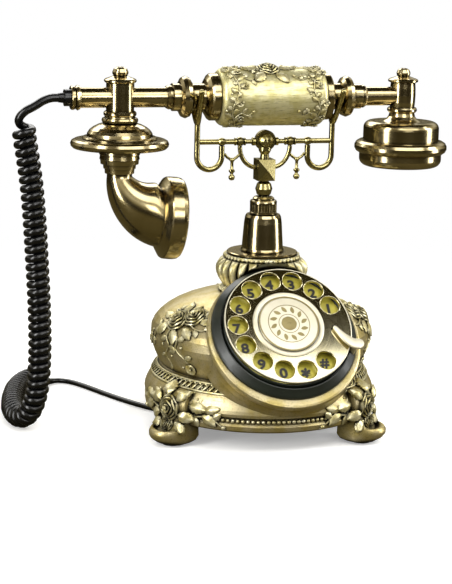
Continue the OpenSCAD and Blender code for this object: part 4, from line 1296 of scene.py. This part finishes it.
@dataclass
class Collar:
    """The lobed collar under the column, its bead rings, and the ribbed nut."""

    lobes: int = 24
    bite_radius: float = 52.2
    bite_floor: float = -16.5
    nut_z: float = 154.0

    def gadroons(self) -> None:
        """Turn the collar with a lobe and a groove repeated round it."""
        outline = [
            (9, 98), (29, 98), (30.2, 99.5), (29.4, 101.4), (27.6, 102.4), (28.2, 103.4), (29.6, 105.4), (31.2, 108),
            (32.4, 111), (33, 113.6), (33, 115.6), (32.6, 117.6), (31.6, 119.6), (30.2, 121.2), (28.4, 122.4),
            (26.6, 122.9), (27.2, 124.2), (26.4, 125.6), (9, 125.6),
        ]

        def swell(a: np.ndarray, z: np.ndarray) -> np.ndarray:
            """Return the share of the radius left at an angle and height: lobes with grooves between."""
            lobe = np.abs(np.cos(a * self.lobes / 2))
            groove = 1 - 0.2 * (1 - lobe**0.6)
            inside = np.clip(np.minimum(z - 102.6, 122.8 - z) / 2.2, 0, 1)
            return 1 - inside * (1 - groove)

        def bitten(points: np.ndarray) -> np.ndarray:
            """Press what lies within the dial's frame out to its edge."""
            local = DIAL.into(points)
            reach = np.hypot(local[..., 0], local[..., 1])
            hit = (reach < self.bite_radius) & (local[..., 2] > self.bite_floor)
            push = np.where(hit, self.bite_radius / reach, 1)
            local[..., 0] *= push
            local[..., 1] *= push
            return DIAL.out(local)

        sketch = Sketch()
        sketch.lathe(outline, bitten, self.lobes * 14, swell)
        placed(sketch.make("gadroon_lobes", CREST_GOLD, 60), "base", CREST_GOLD, "gadroon_collar")
        rows = (("upper_collar_beads", 26.6, 124.2, 1.5), ("lower_collar_beads", 29.4, 100, 1.7))
        for name, radius, z, size in rows:
            count = round(TAU * radius / (2.25 * size))
            step = 360 / count
            kept = [i for i in range(count) if self.clear_of_dial(radius, z, math.radians(i * step))]
            first = next((i for i in kept if i - 1 not in kept), 0)
            beads = Ring(len(kept), radius, z, first * step - 360 * (first > count / 2), step).of(
                dome(size, size, 10, 3), name, CREST_GOLD
            )
            placed(beads, "base", CREST_GOLD)

    def clear_of_dial(self, radius: float, z: float, angle: float) -> bool:
        """Tell whether a bead at this angle stays outside the dial's frame."""
        local = DIAL.into(np.array([radius * math.cos(angle), radius * math.sin(angle), z]))
        return bool(np.hypot(local[0], local[1]) > self.bite_radius + 2.5 or local[2] < self.bite_floor - 6)

    def nut(self) -> None:
        """Turn the nut and set a ring of ribs round its waist."""
        z = self.nut_z
        sketch = Sketch()
        sketch.lathe(
            [(3.8, z), (9.2, z), (9.65, z + 0.5), (9.65, z + 1.6), (9.05, z + 2.1), (9.05, z + 7.6), (9.65, z + 8.1),
             (9.65, z + 9), (9.2, z + 10), (7.7, z + 10.4), (7.7, z + 11.6), (6.4, z + 12.7), (3.8, z + 12.7)],
            lambda p: p, 72,
        )
        placed(sketch.make("column_nut_turned", PLATED_BRONZE, 30), "base", PLATED_BRONZE, "column_nut")
        rib = Sketch()
        rib.tube(smooth_line([(0.06, 0, -2.75), (0.06, 0, 2.75)], 1.4), 0.56, 8, (1, 0, 0))
        ribs = Ring(32, 9.0, z + 4.85).of(rib, "column_nut_knurl", PLATED_BRONZE)
        placed(ribs, "base", PLATED_BRONZE)

    def build(self) -> None:
        """Build the collar and the nut."""
        self.gadroons()
        self.nut()


# ------------------------------------------------------------------ dial


@dataclass
class Dial:
    """Numerals, rims, finger stop and the button's engraving, in the dial's own frame."""

    hole_ring: float = 35.8
    hole_radius: float = 7.15
    first_hole: float = 23.5
    hole_step: float = 25.7
    signs: str = "1234567890*#"
    plate_top: float = -6.0
    numeral_mm: float = 7.0
    stop_line: tuple = (
        (49.6, -19.6), (46.6, -18.8), (43.6, -18.4), (40.6, -16.6), (37.6, -13.8), (35, -10.4), (32.8, -7),
        (31.2, -4.4),
    )
    stop_half: tuple = (3.9, 3.9, 3.7, 3.3, 2.8, 2.2, 1.7, 1.2)

    def numerals(self) -> None:
        """Print the numerals on the plate, upright under their holes."""
        sketch_mesh = bmesh.new()
        for i, sign in enumerate(self.signs):
            text = bpy.data.curves.new(f"sign_{i}", "FONT")
            text.body = "6" if sign == "9" else sign
            text.size = self.numeral_mm * 1.42
            text.offset = 0.3
            text.extrude = 0.12
            text.align_x, text.align_y = "CENTER", "CENTER"
            holder = bpy.data.objects.new(f"sign_{i}", text)
            bpy.context.scene.collection.objects.link(holder)
            bpy.context.view_layer.update()
            flat = bpy.data.meshes.new_from_object(holder.evaluated_get(bpy.context.evaluated_depsgraph_get()))
            bpy.data.objects.remove(holder)
            a = math.radians(self.first_hole + i * self.hole_step)
            co = np.array([v.co for v in flat.vertices])
            middle = (co.max(0) + co.min(0)) / 2
            wide = 1.12 if sign not in "*#" else 1.0
            tall = 1.45 if sign == "*" else 1.0
            over = -1 if sign == "9" else 1  # this face draws its nine as a six turned over
            local = (co - middle) * (wide * tall * over, tall * over, 1)
            local += (self.hole_ring * math.cos(a) + 0.7, self.hole_ring * math.sin(a) + 0.4, self.plate_top + 0.3)
            for vertex, point in zip(flat.vertices, DIAL.out(local) * MM):
                vertex.co = point
            sketch_mesh.from_mesh(flat)
            bpy.data.meshes.remove(flat)
        mesh = bpy.data.meshes.new("dial_numerals")
        sketch_mesh.to_mesh(mesh)
        sketch_mesh.free()
        placed(finished("dial_numerals", mesh, NUMERAL_INK, 30), "base", NUMERAL_INK)

    def rims(self) -> None:
        """Set a bright rolled rim in every finger hole, and a lip on the wheel's edge."""
        one = Sketch()
        outline = [(self.hole_radius + 0.04, -1.6), (self.hole_radius - 0.2, -1.0), (self.hole_radius - 0.2, -0.1),
                   (self.hole_radius - 0.02, 0.12), (self.hole_radius + 0.2, 0.14), (self.hole_radius + 0.4, -0.02),
                   (self.hole_radius + 0.36, -0.3)]
        one.lathe(outline, lambda p: p, 40)
        rims = Ring(12, self.hole_ring, 0, self.first_hole, self.hole_step, DIAL).of(
            one, "finger_hole_rims", CHAMPAGNE, 50
        )
        placed(rims, "finger_wheel", CHAMPAGNE)
        lip = Sketch()
        lip.lathe(
            [(44.2, -0.2), (44.3, 0.08), (44.6, 0.16), (45.0, -0.1), (45.02, -1.2), (44.6, -1.6)], DIAL.out, 144
        )
        placed(lip.make("finger_wheel_lip", CREAM_GOLD, 50), "finger_wheel", CREAM_GOLD)
        sleeve = Sketch()
        sleeve.lathe([(43.25, -11.9), (43.25, -5.7), (43.5, -5.4), (44.2, -5.4), (44.5, -5.7), (44.5, -11.9)],
                     DIAL.out, 120)
        placed(sleeve.make("number_plate_sleeve", SATIN_BLACK, 50), "base", SATIN_BLACK)

    def stop(self) -> None:
        """Stamp the finger stop as a crowned plate with rounded edges."""
        line = smooth_line([(x, y, 0) for x, y in self.stop_line], 0.8)
        where = np.linspace(0, 1, len(line))
        half = np.interp(where, np.linspace(0, 1, len(self.stop_half)), self.stop_half)
        half[:3] *= (0.35, 0.75, 0.93)
        half[-2:] *= (0.85, 0.45)
        run = np.gradient(line, axis=0)
        run /= np.linalg.norm(run, axis=1)[:, None]
        across = np.stack([-run[:, 1], run[:, 0]], -1)
        section = [(-1, 2.5), (-0.99, 3.0), (-0.9, 3.42), (-0.7, 3.62), (0, 3.74), (0.7, 3.62), (0.9, 3.42),
                   (0.99, 3.0), (1, 2.5), (0.99, 2.0), (0.9, 1.66), (0, 1.6), (-0.9, 1.66), (-0.99, 2.0)]
        rows = [
            [(p[0] + n[0] * w * s, p[1] + n[1] * w * s, z) for s, z in section]
            for p, n, w in zip(line, across, half)
        ]
        sketch = Sketch()
        sketch.grid(DIAL.out(np.array(rows)), round_columns=True, lids=True)
        a = math.radians(-21)
        post = [
            (48.3 + 2.2 * math.cos(t) * abs(math.cos(t)) ** -0.4, 3.2 * math.sin(t) * (abs(math.sin(t)) + 1e-3) ** -0.4)
            for t in (np.arange(24) + 0.5) * TAU / 24
        ]
        walls = np.array([[(x, y, z) for x, y in post] for z in (-12.0, -6.0, 0.0, 1.8)])
        x, y = walls[..., 0].copy(), walls[..., 1].copy()
        walls[..., 0], walls[..., 1] = x * math.cos(a) - y * math.sin(a), x * math.sin(a) + y * math.cos(a)
        sketch.grid(DIAL.out(walls), round_columns=True, lids=True)
        placed(sketch.make("finger_stop_stamped", CREAM_GOLD, 50), "base", CREAM_GOLD, "finger_stop")

    def engraving(self) -> None:
        """Press a plain double ring and a small rosette into the button."""
        top = float(self.button_top())
        rings = Sketch()
        for radius, wide in ((20.9, 0.4), (14.6, 0.2), (7.2, 0.2)):
            rings.lathe(
                [(radius - wide, top - 0.3), (radius - wide, top + 0.02), (radius, top + 0.07),
                 (radius + wide, top + 0.02), (radius + wide, top - 0.3)], DIAL.out, 120,
            )
        relief = Relief(lambda x, y, h: DIAL.out(np.stack([x, y, top + 0.1 * h], -1)), rings)
        relief.blossom(0, 0, 5.4, 1.2, 8)
        for i in range(12):
            a = i * TAU / 12
            relief.leaf(9 * math.cos(a), 9 * math.sin(a), math.degrees(a) + 34, 5.2, 2.6, 0.9)
        placed(rings.make("button_rosette", ETCHED_LINE, 50), "speaker_button", ETCHED_LINE)

    def button_top(self) -> float:
        """Return the height of the button's face above the wheel's plane."""
        co = np.array([v.co for v in bpy.data.objects["speaker_button"].data.vertices]) / MM
        return DIAL.into(co)[:, 2].max()

    def build(self) -> None:
        """Build what the CAD dial lacks."""
        self.numerals()
        self.rims()
        self.stop()
        self.engraving()


# ------------------------------------------------------------------ cradle


@dataclass
class Cradle:
    """Drawn rods of the cradle with round bends, and its two turned drops."""

    rod: float = 2.0
    post_x: float = 49.7
    hook: float = 9.0
    hook_z: float = 195.5
    bar_z: float = 206.0
    fork_z: float = 219.5
    brace_x: float = 18.5
    block_half: float = 6.25
    drop_x: float = 24.0
    arm: tuple = ((2.6, 220.6), (5.4, 224), (8, 228.2), (10.9, 232.8), (14.2, 237.8), (17.4, 242.6))
    drop: tuple = (
        (0, 194.6), (1.1, 194.5), (1.7, 194), (1.95, 193.2), (1.9, 192.6), (1.3, 192), (1.1, 191.4), (1.1, 186.8),
        (1.5, 186.3), (2.1, 186), (2.2, 185.3), (2.1, 184.6), (1.4, 184), (1.1, 183.4), (1.2, 182.6), (1.8, 182.1),
        (2.2, 181.4), (2.3, 180.7), (2.1, 179.8), (1.4, 178.8), (0, 178.4),
    )

    def bent(self, sketch: Sketch, points: Sequence[Point], radius: float, side: int) -> None:
        """Bend one rod through points, on one side of the cradle."""
        line = smooth_line(points, 1.0) * np.array([side, 1, 1])
        sketch.tube(line, radius, 14, (0, 1, 0.01))

    def half(self, side: int, name: str, node: str) -> None:
        """Build one side's post, hook, fork and brace.

        Args:
            side: minus one for the left.
            name: the piece's name.
            node: the CAD node it stands for.
        """
        sketch = Sketch()
        mid = self.post_x - self.hook
        hook = [
            (mid + self.hook * math.cos(a), 0, self.hook_z - self.hook * math.sin(a))
            for a in np.radians(np.arange(0, 181, 15))
        ]
        self.bent(
            sketch, [(self.post_x, 0, self.fork_z + 1), (self.post_x, 0, 210), (self.post_x, 0, 202), *hook,
                     (mid - self.hook, 0, 200), (mid - self.hook, 0, self.bar_z - 2.9)], self.rod, side,
        )
        for way in (-1, 1):
            self.bent(
                sketch,
                [(self.post_x, 0, self.fork_z - 0.6), *((self.post_x + 0.1 * y, way * y, z) for y, z in self.arm)],
                self.rod, side,
            )
            sketch.ball((side * (self.post_x + 1.74), way * 17.4, 242.6), self.rod)
        self.bent(
            sketch,
            [(self.brace_x - (self.brace_x - self.block_half + 0.4) * (1 - math.cos(a)), 0,
              self.bar_z - 3.3 - 15.2 * math.sin(a)) for a in np.radians(np.arange(0, 91, 10))],
            1.6, side,
        )
        placed(sketch.make(name, BUFFED_BRASS, 60), "cradle", BUFFED_BRASS, node)

    def drops(self) -> None:
        """Hang the two turned drops on their thin struts."""
        sketch = Sketch()
        for side in (-1, 1):
            for route in (
                [(29.6, 0, 197.4), (27.6, 0, 195), (self.drop_x + 0.6, 0, 193.2)],
                [(18.2, 0, 197.2), (20.6, 0, 195), (self.drop_x - 0.6, 0, 193.2)],
            ):
                self.bent(sketch, route, 1.0, side)
            shift = np.array([side * self.drop_x, 0, 0])
            sketch.lathe(self.drop, lambda p, s=shift: p + s, 28)
        placed(sketch.make("turned_drops", BUFFED_BRASS, 50), "cradle", BUFFED_BRASS, "pendants")

    def build(self) -> None:
        """Build both sides and the drops."""
        self.half(-1, "cradle_rods_left", "cradle_frame_left")
        self.half(1, "cradle_rods_right", "cradle_frame_right")
        self.drops()


# ------------------------------------------------------------------ handset


@dataclass
class Handset:
    """The elbow of the mouthpiece and the hammered grip with its garlands."""

    axis_z: float = 237.5
    grip_radius: float = 20.3
    grip_from: float = -36.4
    grip_to: float = 40.6
    tie_radius: float = 5.2
    pivot: tuple[float, float, float] = (-75.5, 0.0, 183.0)
    bend: float = 29.5
    sweep: float = 85.0
    elbow_top: tuple[float, float, float] = (-105.0, 0.0, 185.2)
    wall: float = 2.0

    def elbow(self) -> None:
        """Bend the flared elbow as one smooth hollow casting."""
        rows, inner = [], []
        shares = np.linspace(0, 1, 33)
        turn = np.arange(64) * TAU / 64

        def ring(centre: np.ndarray, tilt: float, radius: float) -> np.ndarray:
            """Return one circle of the bend, square to its tilt."""
            side = np.array([math.cos(tilt), 0, math.sin(tilt)])
            return centre + radius * (np.cos(turn)[:, None] * side + np.sin(turn)[:, None] * np.array([0, 1, 0]))

        steps = [(np.array(self.elbow_top), 0.0, 8.8)]
        for k in shares:
            a = math.radians(self.sweep * k)
            reach = self.bend - 4.3 * math.sin(math.pi * k)
            centre = np.array(self.pivot) - reach * np.array([math.cos(a), 0, math.sin(a)])
            steps.append((centre, a, 8.8 + 12.2 * math.sin(math.pi * k / 2)))
        rows = [ring(c, t, r) for c, t, r in steps]
        inner = [ring(c, t, r - self.wall) for c, t, r in steps][::-1]
        sketch = Sketch()
        sketch.grid(np.array(rows + inner), round_rows=True, round_columns=True)
        placed(sketch.make("mouth_elbow_cast", PLATED_BRONZE, 50), "handset", PLATED_BRONZE, "mouth_elbow")

    def on_grip(self, x0: float, around: float) -> Wrap:
        """Return a wrap on the grip: across runs along X, along runs up and over it.

        Args:
            x0: place of the zero along X.
            around: angle of the zero from the front, in degrees.
        """

        def wrap(x: np.ndarray, y: np.ndarray, h: np.ndarray) -> np.ndarray:
            """Turn along, around and height above the grip into places."""
            a = math.radians(around) + y / self.grip_radius
            r = self.grip_radius - 0.25 + h
            return np.stack([x0 + x, -r * np.cos(a), self.axis_z + r * np.sin(a)], -1)

        return wrap

    def sleeve(self) -> None:
        """Turn the grip's sleeve and beat its skin with shallow hammer marks."""
        e = 5.0
        line = [(self.tie_radius, self.grip_from), *((self.grip_radius - e + e * math.sin(a), self.grip_from + e
                - e * math.cos(a)) for a in np.radians(np.arange(0, 91, 11.25)))]
        line += [(self.grip_radius, x) for x in np.linspace(self.grip_from + e + 1.5, self.grip_to - e - 1.5, 44)]
        line += [(self.grip_radius - e + e * math.sin(a), self.grip_to - e + e * math.cos(a))
                 for a in np.radians(np.arange(90, -1, -11.25))]
        line += [(self.tie_radius, self.grip_to)]

        def beaten(a: np.ndarray, x: np.ndarray) -> np.ndarray:
            """Return the share of the radius left at an angle and place: shallow beaten marks."""
            inside = np.clip(np.minimum(x - self.grip_from - e, self.grip_to - e - x) / 3, 0, 1)
            mark = np.sin(x * 1.9 + 2.3 * np.sin(a * 7)) * np.sin(a * 19 + 1.7 * np.sin(x * 0.8))
            mark += 0.6 * np.sin(x * 3.1 + a * 5) * np.sin(a * 31 - x * 0.9)
            return 1 - 0.012 * inside * (0.5 - 0.32 * mark)

        sketch = Sketch()
        sketch.lathe(
            line,
            lambda p: np.stack([p[..., 2], p[..., 0], self.axis_z + p[..., 1]], -1), 132, beaten,
        )
        placed(sketch.make("grip_sleeve_hammered", HAMMERED_GOLD, 50), "handset", HAMMERED_GOLD, "grip_barrel")

    def garlands(self) -> None:
        """Lay a rose on the crown of the grip and a vine round each end."""
        relief = Relief(self.on_grip(-1.0, 78.0))
        relief.leaf(-7, 0, 176, 13, 8, 2.0)
        relief.leaf(-4, -6, 226, 12, 7.5, 2.0)
        relief.leaf(7, 0, 6, 14, 8, 2.0)
        relief.leaf(4, -7, -48, 12, 7, 1.9)
        relief.leaf(4, 6, 44, 11, 7, 1.9)
        relief.leaf(-5, 6, 140, 11, 7, 1.9)
        relief.rose(0, 0, 8.2, 4.4)
        relief.knob(12, 6, 1.6, 2.0)
        relief.knob(-12, -6, 1.6, 2.0)
        for x0, side in ((-27.5, 1), (31.5, -1)):
            relief.wrap = self.on_grip(x0, 0.0)
            points = [(side * 2.4 * math.sin(y / 5.2), y) for y in np.arange(-34, 52, 3.0)]
            relief.vine(points, 1.5, 1.0)
            for i, (x, y) in enumerate(points[1:-1]):
                way = 1 if i % 2 else -1
                relief.leaf(x, y, 90 - way * 62, 6.6 - 1.2 * (i % 3), 3.8, 1.25)
                if i % 4 == 1:
                    relief.blossom(x + way * 4.6, y + 1.5, 2.5, 1.7)
                elif i % 4 == 3:
                    relief.knob(x - way * 4.2, y + 2.0, 0.95, 1.3)
            for lift, reach in ((12, 16), (26, 22), (-14, 13)):
                relief.vine(
                    [(0, lift), (side * reach * 0.35, lift + 4), (side * reach * 0.7, lift + 2),
                     (side * reach, lift + 5)], 1.2, 0.7,
                )
                relief.leaf(side * reach * 0.4, lift + 4, 90 - side * 40, 5, 3, 1.1)
                relief.leaf(side * reach * 0.75, lift + 2.4, -side * 60 + 0, 5, 3, 1.1)
                relief.knob(side * reach, lift + 5.4, 1.1, 1.5)
        placed(relief.sketch.make("grip_rose_and_vines", CREST_GOLD, 44), "handset", CREST_GOLD)

    def build(self) -> None:
        """Build the elbow, the sleeve and its garlands."""
        self.elbow()
        self.sleeve()
        self.garlands()


# ------------------------------------------------------------------ assembly


def dress_nodes() -> None:
    """Give every CAD node the finish of its slot, or its own."""
    for thing in bpy.context.scene.objects:
        if "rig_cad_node" not in thing or thing.type != "MESH":
            continue
        for holder in thing.material_slots:
            slot = holder.material.name.split(".")[0] if holder.material else ""
            finish = NODE_FINISH.get(thing.name, SLOT_FINISH.get(slot, PLATED_BRONZE))
            holder.material = finish.material()


def main() -> None:
    """Build the set, the cord and every sub-assembly in order."""
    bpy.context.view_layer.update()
    Studio().build()
    CurlyCord().build()
    dress_nodes()
    BodyRelief().build()
    PlinthBeads().build()
    for node, angle, mirror in (
        ("foot_front_left", 208.0, False), ("foot_front_right", -46.0, True),
        ("foot_rear_left", 125.0, False), ("foot_rear_right", 37.0, True),
    ):
        ScrollFoot(node, angle, mirror).build()
    Collar().build()
    Dial().build()
    Cradle().build()
    Handset().build()


if __name__ == "__main__":
    main()
